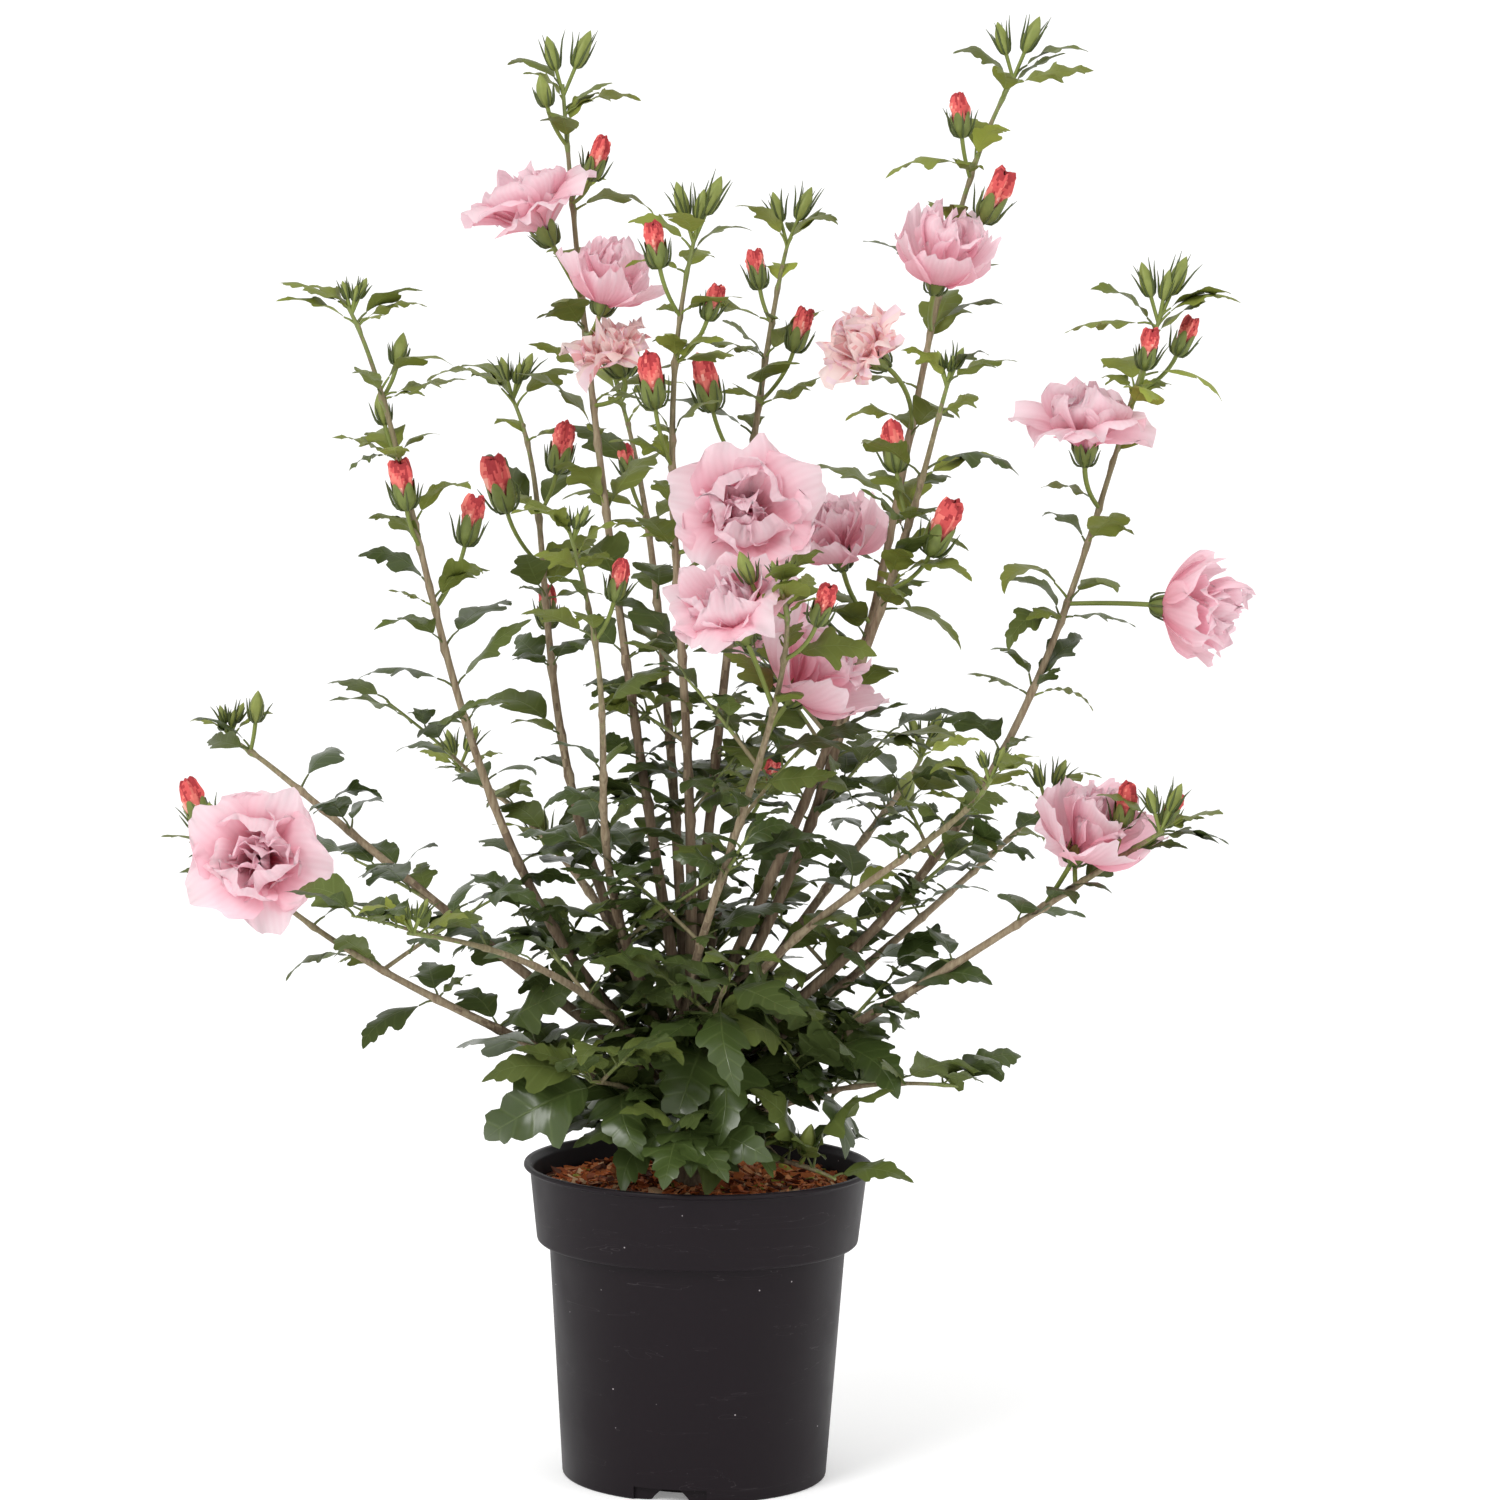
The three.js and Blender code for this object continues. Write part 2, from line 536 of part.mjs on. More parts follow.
// A bud on its stalk: a green calyx with the folded petals standing out of it.
function addBud(growth, root, base, size) {
  const along = base.clone().sub(root).normalize().add(UP).normalize();
  const [length, width] = [BUD_LENGTH * size, BUD_WIDTH * size];
  const stalk = twigSolid(root, base, STALK_RADIUS);
  if (!hasRoom(growth.name, spindle(base, along, length, width, BUD_WIDEST, GROWN))) return;
  if (!hasRoom(growth.name, twigSolid(root, base, STALK_RADIUS + GROWN))) return;
  const start = base.clone().addScaledVector(along, -BUD_SUNK);
  attach(growth, spindle(start, along, length + BUD_SUNK, width, BUD_WIDEST));
  attach(growth, stalk);
}

for (const { wand, at, base, open } of BUDS) {
  const growth = wandNamed(wand);
  const root = growth.curve.getPoint(at);
  const size = open ? 1 : GREEN_BUD_SHARE;
  addBud(growth, root, root.clone().add(new THREE.Vector3(...base)), size);
}

// The green buds that stand round a wand's tip.
for (const growth of growths) {
  const count = growth.buds || 0;
  for (let k = 0; k < count; k++) {
    const root = growth.curve.getPoint(0.985);
    const along = direction(TIP_BUD_TURN * k, 68 + 5 * k);
    const length = TIP_BUD_REACH + 2 * k;
    if (!hasRoom(growth.name, spindle(root, along, length, TIP_BUD_WIDTH, TIP_BUD_WIDEST, GROWN))) continue;
    attach(growth, spindle(root, along, length, TIP_BUD_WIDTH, TIP_BUD_WIDEST));
  }
}

// A leaf keeps clear of every other part of the plant, and its blade also of its own part's leaves.
function addLeaf(growth, leaf) {
  if (!hasRoom(growth.name, leafSolid(leaf, GROWN))) return;
  const stalkEnd = leaf.length * LEAF_STALK;
  const outward = direction(leaf.heading, leaf.rise);
  const blade = { ...leaf, root: leaf.root.clone().addScaledVector(outward, stalkEnd) };
  blade.length = leaf.length - stalkEnd;
  const crowds = (other) => other.owner === growth.name && other.solid !== growth.body;
  if (!isClear(leafSolid(blade), crowds)) return;
  attach(growth, leafSolid(leaf));
}

// A side twig with three leaves: one to each side and one at its end.
function addTwig(growth, root, heading, rise, length, random) {
  const along = direction(heading, rise);
  const end = root.clone().addScaledVector(along, length);
  const leaves = [
    [0.42, 62],
    [0.74, -58],
    [0.97, 4],
  ].map(([share, turn]) => ({
    root: root.clone().addScaledVector(along, length * share),
    heading: heading + turn + 24 * (random() - 0.5),
    rise: 14 + 22 * (random() - 0.5),
    roll: 40 * (random() - 0.5),
    length: LEAF_LENGTH * (0.78 + 0.34 * random()),
  }));
  if (!hasRoom(growth.name, twigSolid(root, end, TWIG_RADIUS + GROWN))) return;
  attach(growth, twigSolid(root, end, TWIG_RADIUS));
  for (const leaf of leaves) addLeaf(growth, leaf);
}

growths.forEach((growth, index) => {
  const { curve, from } = growth;
  const isShoot = growth.start === 0;
  const random = randomFrom(FIRST_SEED + SEED_STEP * index);
  let heading = 360 * random();
  let share = from + (isShoot ? 0.3 : FIRST_NODE);
  while (share < LAST_NODE) {
    const root = curve.getPoint(share);
    heading += NODE_TURN + 40 * (random() - 0.5);
    const youth = THREE.MathUtils.smoothstep(share, 0.55, 1); // leaves are smaller towards the tip
    const leaf = {
      root,
      heading,
      rise: (root.z < DENSE_TOP ? 12 : 24) + 24 * (random() - 0.5),
      roll: 36 * (random() - 0.5),
      length: LEAF_LENGTH * (0.86 + 0.3 * random()) * (1 - 0.38 * youth),
    };
    addLeaf(growth, leaf);
    const twigHeading = heading + 180 + 60 * (random() - 0.5);
    const twigRise = 16 + 34 * random();
    const twigLength = TWIG_LENGTH * (0.6 + 0.8 * random()) * (isShoot ? 0.6 : 1);
    const hasTwig = random() < TWIG_SHARE;
    if (hasTwig && root.z < DENSE_TOP) addTwig(growth, root, twigHeading, twigRise, twigLength, random);
    else if (random() < 0.5) {
      addLeaf(growth, { ...leaf, heading: twigHeading, length: leaf.length * 0.8 });
    }
    const spacing = (isShoot ? SHOOT_SPACING : NODE_SPACING) * (0.8 + 0.4 * random());
    share += spacing * shareOfMillimetre(curve, share);
  }
  // The last two leaves spread to both sides of the way the stem itself is heading.
  const last = curve.getPoint(1).sub(curve.getPoint(0));
  const lastHeading = THREE.MathUtils.radToDeg(Math.atan2(last.y, last.x));
  for (const turn of [-40, 32]) {
    const root = curve.getPoint(0.99);
    addLeaf(growth, { root, heading: lastHeading + turn, rise: 16, roll: 0, length: LEAF_LENGTH * 0.78 });
  }
});

for (const { name, parts } of growths) nodes.set(name, largestPiece(wasm.Manifold.union(parts)));

// ---------------------------------------------------------------- the scene graph

const finish = (color, roughness) => new THREE.MeshStandardMaterial({ color, roughness, metalness: 0 });
const POT_PLASTIC = finish(0x2a262a, 0.55);
const MULCH = finish(0x8a4a2e, 0.95);
const BARK = finish(0x8d7a5f, 0.85);
const FOLIAGE = finish(0x3c4f28, 0.6);

function finishOf(name) {
  if (name === "pot") return POT_PLASTIC;
  if (name === "bark_mulch") return MULCH;
  if (name === "trunk" || name.startsWith("bough_")) return BARK;
  return FOLIAGE;
}

const shrub = new THREE.Group();
for (const [name, solid] of nodes) {
  const { vertProperties, triVerts } = solid.getMesh();
  const geometry = new THREE.BufferGeometry();
  geometry.setAttribute("position", new THREE.BufferAttribute(vertProperties, 3));
  geometry.setIndex(new THREE.BufferAttribute(triVerts, 1));
  const mesh = new THREE.Mesh(geometry, finishOf(name));
  mesh.name = name;
  shrub.add(mesh);
}

export default shrub;
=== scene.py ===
# %% [markdown]
# # A double hibiscus in its black nursery pot
#
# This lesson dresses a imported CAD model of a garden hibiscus. The CAD model knows where every stem,
# leaf, bud and bloom stands. Here each of them gets its real form and its finish.
#
# The plant is grown by one rule from a few tables, so we can write the same rule again and carry it
# on to smaller leaves. Small forms are gathered into a few large meshes with NumPy, because Blender
# handles ten large meshes far better than thousands of small ones.

import math

import bmesh
import bpy
import numpy as np
from mathutils import Matrix, Vector


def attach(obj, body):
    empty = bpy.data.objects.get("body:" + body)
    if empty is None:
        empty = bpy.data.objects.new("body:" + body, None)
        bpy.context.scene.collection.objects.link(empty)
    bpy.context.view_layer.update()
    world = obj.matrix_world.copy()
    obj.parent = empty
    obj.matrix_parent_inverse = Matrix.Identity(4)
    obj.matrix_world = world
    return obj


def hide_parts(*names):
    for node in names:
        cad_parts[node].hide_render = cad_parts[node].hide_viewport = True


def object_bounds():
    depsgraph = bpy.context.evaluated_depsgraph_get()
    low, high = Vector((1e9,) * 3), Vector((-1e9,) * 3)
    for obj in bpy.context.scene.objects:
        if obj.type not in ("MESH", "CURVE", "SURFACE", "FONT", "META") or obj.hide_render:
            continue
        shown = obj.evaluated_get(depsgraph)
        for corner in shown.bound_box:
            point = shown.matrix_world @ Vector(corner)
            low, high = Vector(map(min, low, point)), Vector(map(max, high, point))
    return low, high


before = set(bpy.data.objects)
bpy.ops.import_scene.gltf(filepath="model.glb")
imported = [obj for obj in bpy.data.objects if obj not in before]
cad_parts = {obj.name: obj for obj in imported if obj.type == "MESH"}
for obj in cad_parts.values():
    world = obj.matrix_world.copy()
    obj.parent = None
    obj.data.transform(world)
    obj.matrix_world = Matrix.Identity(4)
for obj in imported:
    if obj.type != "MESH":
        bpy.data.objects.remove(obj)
cad_low, cad_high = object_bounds()
LIMBS = [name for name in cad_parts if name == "trunk" or name.startswith("bough_")]
MASSES = [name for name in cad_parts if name.startswith("leafy_") or "shoot" in name]
print("the frame holds", len(LIMBS), "limbs and", len(MASSES), "leafy masses")

# %% [markdown]
# ## The camera
#
# The camera stands 3.3 m in front of the shrub, as high as its middle stems, and looks a little down,
# so that the mulch shows inside the rim. A long lens keeps the pot's sides nearly straight. We build
# its matrix from three directions, which is easier to follow than three angles.

# %% Place the camera
FRAME_PIXELS = 1500
FOCAL_PIXELS = 5090  # the focal length in pixels of that frame
SENSOR_WIDTH = 36.0
CAMERA_PLACE = Vector((0.0295, -3.3, 0.821))
CAMERA_PITCH = math.radians(5.9)
CAMERA_ROLL = math.radians(0.9)

lens = bpy.data.cameras.new("camera")
lens.sensor_width = SENSOR_WIDTH
lens.lens = SENSOR_WIDTH * FOCAL_PIXELS / FRAME_PIXELS
camera = bpy.data.objects.new("camera", lens)
bpy.context.scene.collection.objects.link(camera)
bpy.context.scene.camera = camera

forward = Vector((0, math.cos(CAMERA_PITCH), -math.sin(CAMERA_PITCH)))
level = Vector((1, 0, 0))
upward = level.cross(forward)
right = math.cos(CAMERA_ROLL) * level + math.sin(CAMERA_ROLL) * upward
upward = right.cross(forward)
turn = Matrix((right, upward, -forward)).transposed()
camera.matrix_world = Matrix.Translation(CAMERA_PLACE) @ turn.to_4x4()
print("lens", round(lens.lens, 1), "mm")

# %% [markdown]
# ## Colours and shader nodes
#
# Colours are written as sRGB hex codes, as a colour picker shows them. Shaders calculate in linear
# light, so one function converts them. A second small function adds a shader node: each of its inputs
# gets a value, or a link if the value is another node's output. The nodes that every finish uses get a
# short name of their own on top of it, so that a material reads as a short list.

# %% Helpers for materials
def linear(code):
    """A linear colour for a shader, from an sRGB hex code."""
    shares = [int(code[place:place + 2], 16) / 255 for place in (1, 3, 5)]
    bright = [((share + 0.055) / 1.055) ** 2.4 if share > 0.04045 else share / 12.92 for share in shares]
    return (*bright, 1.0)


def add_node(tree, kind, inputs):
    """Adds a node. A key of inputs is a socket's name or number, or the name of a property."""
    made = tree.nodes.new("ShaderNode" + kind)
    for key, value in inputs.items():
        if isinstance(value, bpy.types.NodeSocket):
            tree.links.new(value, made.inputs[key])
        elif isinstance(key, int) or key in made.inputs:
            made.inputs[key].default_value = value
        else:
            setattr(made, key, value)
    return made


def new_material(name):
    """An empty material and its node tree."""
    material = bpy.data.materials.new(name)
    material.use_nodes = True
    material.node_tree.nodes.clear()
    return material, material.node_tree


def finished(material, tree, inputs):
    """The material, with a Principled shader as its surface."""
    shader = add_node(tree, "BsdfPrincipled", inputs)
    add_node(tree, "OutputMaterial", {"Surface": shader.outputs[0]})
    return material


def object_place(tree):
    return add_node(tree, "TexCoord", {}).outputs["Object"]


def growth_place(tree):
    """How far across a blade or petal a point is, and how far along it."""
    growth = add_node(tree, "UVMap", {"uv_map": "growth"}).outputs[0]
    parts = add_node(tree, "SeparateXYZ", {0: growth})
    return parts.outputs["X"], parts.outputs["Y"]


def calculated(tree, operation, *values):
    return add_node(tree, "Math", {"operation": operation, **dict(enumerate(values))}).outputs[0]


def mapped(tree, value, low, high, to_low=0.0, to_high=1.0):
    """A value carried over from one range to another."""
    ends = {"From Min": low, "From Max": high, "To Min": to_low, "To Max": to_high}
    return add_node(tree, "MapRange", {"Value": value, **ends}).outputs["Result"]


def mixed(tree, share, first, second, blend="MIX"):
    """A mix of two colours."""
    inputs = {"data_type": "RGBA", "blend_type": blend, 0: share, 6: first, 7: second}
    return add_node(tree, "Mix", inputs).outputs[2]


def per_metre(millimetres):
    """The scale of a texture whose pattern repeats after that many millimetres."""
    return 1000 / millimetres


def noise(tree, place, millimetres, detail, distortion=0.0):
    inputs = {"Vector": place, "Scale": per_metre(millimetres), "Detail": detail, "Distortion": distortion}
    return add_node(tree, "TexNoise", inputs).outputs["Fac"]


def relief(tree, height, strength, depth):
    """The normal of a surface with a pattern that stands out of it; depth is in metres."""
    made = add_node(tree, "Bump", {"Height": height, "Strength": strength, "Distance": depth})
    return made.outputs["Normal"]


print("mid grey is", [round(value, 3) for value in linear("#808080")[:3]])

# %% [markdown]
# ## Points, tubes and sheets
#
# Nearly everything on a plant is one of two forms. Stems, stalks and bracts are tubes round a path.
# Leaves, petals and sepals are sheets: a grid of points. We could add each one as an object of its own,
# but a heap gathers many of them in one mesh, which Blender handles faster. Each face keeps the number
# of its material, so one mesh can hold several tints.

# %% Directions and curves
MM = 0.001
UP = np.array([0.0, 0.0, 1.0])


def direction(heading, rise):
    """The direction of a heading and a rise in degrees. Heading 0 is +X and -90 is the front."""
    level_share = math.cos(math.radians(rise))
    turn_angle = math.radians(heading)
    return np.array(
        [level_share * math.cos(turn_angle), level_share * math.sin(turn_angle), math.sin(math.radians(rise))]
    )


def unit(vector):
    return vector / np.linalg.norm(vector)


def square_to(axis):
    """Two directions square to an axis and to each other."""
    helper = np.eye(3)[np.argmin(np.abs(axis))]
    first = unit(np.cross(axis, helper))
    return first, np.cross(axis, first)


def bezier(handles, shares):
    """Points of a Bezier curve of any order at one or more shares."""
    shares = np.asarray(shares, float)[..., None]
    points = [np.asarray(handle, float) for handle in handles]
    while len(points) > 1:
        points = [a * (1 - shares) + b * shares for a, b in zip(points, points[1:])]
    return points[0]


def tube(path, radii, sides):
    """Rings of points round a path. radii holds one radius for each ring, or one for each point."""
    path = np.asarray(path, float)
    along = np.gradient(path, axis=0)
    along /= np.linalg.norm(along, axis=1, keepdims=True)
    helper = np.eye(3)[np.argmin(np.abs(along.mean(0)))]
    first = np.cross(along, helper)
    first /= np.linalg.norm(first, axis=1, keepdims=True)
    second = np.cross(along, first)
    radii = np.asarray(radii, float)
    if radii.ndim == 1:
        radii = radii[:, None]
    angles = np.arange(sides) * 2 * math.pi / sides
    out = first[:, None] * np.cos(angles)[:, None] + second[:, None] * np.sin(angles)[:, None]
    return path[:, None] + out * radii[..., None]


def lathe(profile, sides):
    """Rings of points round the Z axis, one for each (radius, height) of a profile."""
    angles = np.arange(sides) * 2 * math.pi / sides
    radius, height = np.array(profile, float).T
    return np.stack(
        [
            radius[:, None] * np.cos(angles),
            radius[:, None] * np.sin(angles),
            np.repeat(height[:, None], sides, axis=1),
        ],
        axis=-1,
    )


print("a test tube has", tube([[0, 0, 0], [0, 0, 5], [0, 1, 9]], [1, 1, 1], 6).shape, "points")


# %% A heap of small forms
class Heap:
    """Gathers forms, in millimetres, for one mesh."""

    def __init__(self, name):
        self.name = name
        self.points = []
        self.corners = []
        self.corner_counts = []
        self.skins = []
        self.places = []
        self.size = 0

    def add(self, points, face_groups, skin, places=None):
        """Adds a form. Each group of faces is an array with one row of corners for each face."""
        points = np.asarray(points, float).reshape(-1, 3)
        if places is None:
            places = np.zeros((len(points), 2))
        places = np.asarray(places, float).reshape(-1, 2)
        for faces in face_groups:
            faces = np.asarray(faces)
            self.corners.append((faces + self.size).ravel())
            self.corner_counts.append(np.full(len(faces), faces.shape[1]))
            self.places.append(places[faces.ravel()])
            self.skins.append(np.broadcast_to(np.ravel(skin) if np.ndim(skin) else skin, len(faces)))
        self.points.append(points)
        self.size += len(points)

    def add_sheet(self, grid, skin, closed=False, places=None):
        """Adds a grid of points as quads. A closed sheet joins its last column to its first."""
        rows, columns = grid.shape[:2]
        width = columns if closed else columns - 1
        row, column = np.meshgrid(np.arange(rows - 1), np.arange(width), indexing="ij")
        corner = row * columns + column
        beside = row * columns + (column + 1) % columns
        faces = np.stack([corner, beside, beside + columns, corner + columns], axis=-1).reshape(-1, 4)
        if places is None:
            share = np.meshgrid(np.linspace(0, 1, columns), np.linspace(0, 1, rows))
            places = np.stack(share, axis=-1)
        self.add(grid, [faces], skin, places)

    def add_rod(self, rings, skin):
        """Adds a tube of rings with a flat face at each end."""
        self.add_sheet(rings, skin, closed=True)
        cap = np.arange(rings.shape[1])[None, :]
        self.add(rings[0][::-1], [cap], np.ravel(skin)[0])
        self.add(rings[-1], [cap], np.ravel(skin)[-1])

    def mesh(self):
        """The gathered forms as one mesh."""
        mesh = bpy.data.meshes.new(self.name)
        points = np.concatenate(self.points) * MM
        corners = np.concatenate(self.corners)
        counts = np.concatenate(self.corner_counts)
        mesh.vertices.add(len(points))
        mesh.vertices.foreach_set("co", points.ravel())
        mesh.loops.add(len(corners))
        mesh.loops.foreach_set("vertex_index", corners)
        mesh.polygons.add(len(counts))
        mesh.polygons.foreach_set("loop_start", np.cumsum(counts) - counts)
        mesh.update(calc_edges=True)
        mesh.polygons.foreach_set("material_index", np.concatenate(self.skins))
        layer = mesh.uv_layers.new(name="growth")
        layer.uv.foreach_set("vector", np.concatenate(self.places).ravel())
        return mesh


WELD_DISTANCE = 1e-6


def welded(mesh):
    """The mesh with the points merged that its forms share."""
    work = bmesh.new()
    work.from_mesh(mesh)
    bmesh.ops.remove_doubles(work, verts=work.verts, dist=WELD_DISTANCE)
    work.to_mesh(mesh)
    work.free()
    return mesh


def settle(mesh, name, materials, replaced, sharp_angle=180):
    """Makes a piece of a mesh: finished, smooth except at sharp edges, and put in the frame."""
    for material in materials:
        mesh.materials.append(material)
    mesh.shade_smooth()
    if sharp_angle < 180:
        mesh.set_sharp_from_angle(angle=math.radians(sharp_angle))
    piece = bpy.data.objects.new(name, mesh)
    bpy.context.scene.collection.objects.link(piece)
    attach(piece, "root")
    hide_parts(*replaced)
    print(name, "has", len(mesh.polygons), "faces")


BLOCK_FACES = np.array([[0, 3, 2, 1], [4, 5, 6, 7], [0, 1, 5, 4], [1, 2, 6, 5], [2, 3, 7, 6], [3, 0, 4, 7]])
print("a heap takes sheets, rods and blocks")

# %% [markdown]
# ## The pot
#
# A nursery pot is blow-moulded polypropylene: a tapered body, a deep collar with a step under it, and
# a thin lip that turns out. Blow moulding leaves soft corners, so we round each corner of the profile
# with a short arc before we turn it on the lathe. Three notches in the foot let the water out. They and
# the drain holes are cut with one Boolean.

# %% The pot's profile
RIM_RADIUS = 115
POT_HEIGHT = 207
LIP_HEIGHT = 3
COLLAR_TOP_RADIUS = 110.8
COLLAR_FOOT_RADIUS = 105.5
COLLAR_FOOT = 155.5
BODY_TOP_RADIUS = 97.5
BASE_RADIUS = 87
POT_WALL = 2.2
FOOT_RISE = 9
FOOT_RING_WIDTH = 6
CHANNEL_INNER_RADIUS = 62
LIP_FOOT = POT_HEIGHT - LIP_HEIGHT
CHANNEL_OUTER_RADIUS = BASE_RADIUS - FOOT_RING_WIDTH
POT_SEGMENTS = 144

# Each corner is (radius, height, how much of it is rounded off).
POT_CORNERS = [
    (2, 0, 0),
    (CHANNEL_INNER_RADIUS - 2, 0, 1),
    (CHANNEL_INNER_RADIUS, FOOT_RISE, 1),
    (CHANNEL_OUTER_RADIUS, FOOT_RISE, 1),
    (CHANNEL_OUTER_RADIUS + 1, 0, 0.8),
    (BASE_RADIUS, 0, 1.8),
    (BODY_TOP_RADIUS, COLLAR_FOOT, 2.2),
    (COLLAR_FOOT_RADIUS, COLLAR_FOOT, 2.4),
    (COLLAR_TOP_RADIUS, LIP_FOOT - 1, 1.4),
    (RIM_RADIUS, LIP_FOOT + 0.6, 0.8),
    (RIM_RADIUS - 0.6, POT_HEIGHT, 0.9),
    (COLLAR_TOP_RADIUS + 0.4, POT_HEIGHT, 1),
    (COLLAR_TOP_RADIUS - POT_WALL, LIP_FOOT - 1, 1.2),
    (COLLAR_FOOT_RADIUS - POT_WALL, COLLAR_FOOT + POT_WALL, 1.6),
    (BODY_TOP_RADIUS - POT_WALL, COLLAR_FOOT - 0.5, 1.6),
    (BASE_RADIUS - POT_WALL + 0.8, FOOT_RISE + POT_WALL, 1.2),
    (CHANNEL_INNER_RADIUS - 1, FOOT_RISE + POT_WALL, 1),
    (CHANNEL_INNER_RADIUS - 3, POT_WALL, 1),
    (2, POT_WALL, 0),
]


def rounded(corners, steps=4):
    """The profile with each corner replaced by a short Bezier arc."""
    places = [np.array(corner[:2], float) for corner in corners]
    profile = [places[0]]
    for before, here, after, corner in zip(places, places[1:], places[2:], corners[1:]):
        reach = min(corner[2], 0.45 * np.linalg.norm(here - before), 0.45 * np.linalg.norm(here - after))
        start = here + unit(before - here) * reach
        end = here + unit(after - here) * reach
        profile.extend(bezier([start, here, end], np.linspace(0, 1, steps)))
    profile.append(places[-1])
    return profile


pot_profile = rounded(POT_CORNERS)
print("the pot's profile has", len(pot_profile), "points")

# %% [markdown]
# ## Black polypropylene
#
# Polypropylene is a waxy plastic: IOR about 1.49, satin, never quite even. Recycled black pots have a
# slight warm cast. Handling leaves pale dust specks under a millimetre wide and fine scratches, and
# dried water makes large patches duller. We could paint such marks on an image, but patterns that are
# scaled from their real sizes stay sharp from near by.

# %% The pot's finish
SPECK_SPACING = 12
SPECK_SIZE = 0.03  # of the spacing
SPECK_EDGE = 1.6  # a speck fades out at that many times its size
SPECK_LIMIT = 0.62  # the random grey of a place, above which it has a speck
SCUFF_SIZE = 60
SCRATCH_SPACING = 90
SCRATCH_STRETCH = (1.0, 1.0, 9.0)
SCRATCH_LEVEL, SCRATCH_WIDTH = 0.61, 0.0016  # the values of the noise at which it draws a line
SCRATCH_STRENGTH = 0.05
POT_GRAIN = 1.6


def pot_material():
    material, tree = new_material("black polypropylene, blow-moulded")
    place = object_place(tree)
    specks = {"Vector": place, "Scale": per_metre(SPECK_SPACING), "Randomness": 1.0}
    specks = add_node(tree, "TexVoronoi", specks).outputs
    speck = mapped(tree, specks["Distance"], SPECK_SIZE, SPECK_SIZE * SPECK_EDGE, 1.0, 0.0)
    rare = calculated(tree, "GREATER_THAN", specks["Color"], SPECK_LIMIT)
    speck = calculated(tree, "MULTIPLY", speck, rare)
    stretch = {"Vector": place, "Scale": SCRATCH_STRETCH, "Rotation": (0.3, 0.2, 0.0)}
    stretched = add_node(tree, "Mapping", stretch).outputs["Vector"]
    lines = noise(tree, stretched, SCRATCH_SPACING, 3.0, 0.6)
    scratch = calculated(tree, "COMPARE", lines, SCRATCH_LEVEL, SCRATCH_WIDTH)
    faint = calculated(tree, "MULTIPLY", scratch, SCRATCH_STRENGTH)
    marks = calculated(tree, "MAXIMUM", speck, faint)
    scuffs = noise(tree, place, SCUFF_SIZE, 6.0)
    body = mixed(tree, scuffs, linear("#140e12"), linear("#191217"))
    return finished(material, tree, {
        "Base Color": mixed(tree, marks, body, linear("#a59da0")),
        "Roughness": mapped(tree, scuffs, 0.3, 0.7, 0.4, 0.56),
        "IOR": 1.49,
        "Specular IOR Level": 0.14,
        "Normal": relief(tree, noise(tree, place, POT_GRAIN, 2.0), 0.12, 0.0002),
    })


print("the specks are about", round(SPECK_SPACING * SPECK_SIZE * 2, 1), "mm wide")

# %% Turn the pot and cut its foot
NOTCH_COUNT = 3
NOTCH_WIDTH = 48
FRONT_NOTCH_HEADING = -100
NOTCH_INNER_RADIUS = BASE_RADIUS - 6
NOTCH_OUTER_RADIUS = BASE_RADIUS + 24
DRAIN_RADIUS = 6
DRAIN_SIDES = 24


def cutters():
    """The notches and drain holes, as closed forms that are only cut with."""
    heap = Heap("cutters")
    half = NOTCH_WIDTH / 2
    lift = UP * (FOOT_RISE - 0.2)
    for k in range(NOTCH_COUNT):
        outward = direction(FRONT_NOTCH_HEADING + 360 / NOTCH_COUNT * k, 0)
        sideways = np.cross(UP, outward)
        inner = outward * NOTCH_INNER_RADIUS
        outer = outward * NOTCH_OUTER_RADIUS
        square = [inner - sideways * half, outer - sideways * half]
        square += [outer + sideways * half, inner + sideways * half]
        corners = [corner - lift for corner in square] + [corner + lift for corner in square]
        heap.add(corners, [BLOCK_FACES], 0)
        hole = outward * (CHANNEL_INNER_RADIUS + CHANNEL_OUTER_RADIUS) / 2
        ends = [hole + UP * (FOOT_RISE - 2 * POT_WALL), hole + UP * (FOOT_RISE + 2 * POT_WALL)]
        heap.add_rod(tube(ends, [DRAIN_RADIUS] * 2, DRAIN_SIDES), 0)
    return heap.mesh()


def cut_away(mesh, cutter_mesh):
    """The mesh with another one cut out of it."""
    body = bpy.data.objects.new("body", mesh)
    cutter = bpy.data.objects.new("cutter", cutter_mesh)
    for part in (body, cutter):
        welded(part.data)
        bpy.context.scene.collection.objects.link(part)
    cut = body.modifiers.new("cut", "BOOLEAN")
    cut.operation = "DIFFERENCE"
    cut.object = cutter
    seen = body.evaluated_get(bpy.context.evaluated_depsgraph_get())
    result = bpy.data.meshes.new_from_object(seen)
    bpy.data.objects.remove(body)
    bpy.data.objects.remove(cutter)
    return result


pot_heap = Heap("nursery_pot")
pot_heap.add_rod(lathe(pot_profile, POT_SEGMENTS), 0)
pot_mesh = cut_away(pot_heap.mesh(), cutters())
settle(pot_mesh, "nursery_pot", [pot_material()], ["pot"], sharp_angle=40)

# %% [markdown]
# ## The bark mulch
#
# The soil is covered with shredded pine bark. A camera sees two things there: an uneven bed, and loose
# chips lying on it at all angles. So the bed is a sheet with lumps, and each chip is a small block
# whose eight corners are moved a little, which is enough to break up the light. The tints of bark are
# dealt out chip by chip.

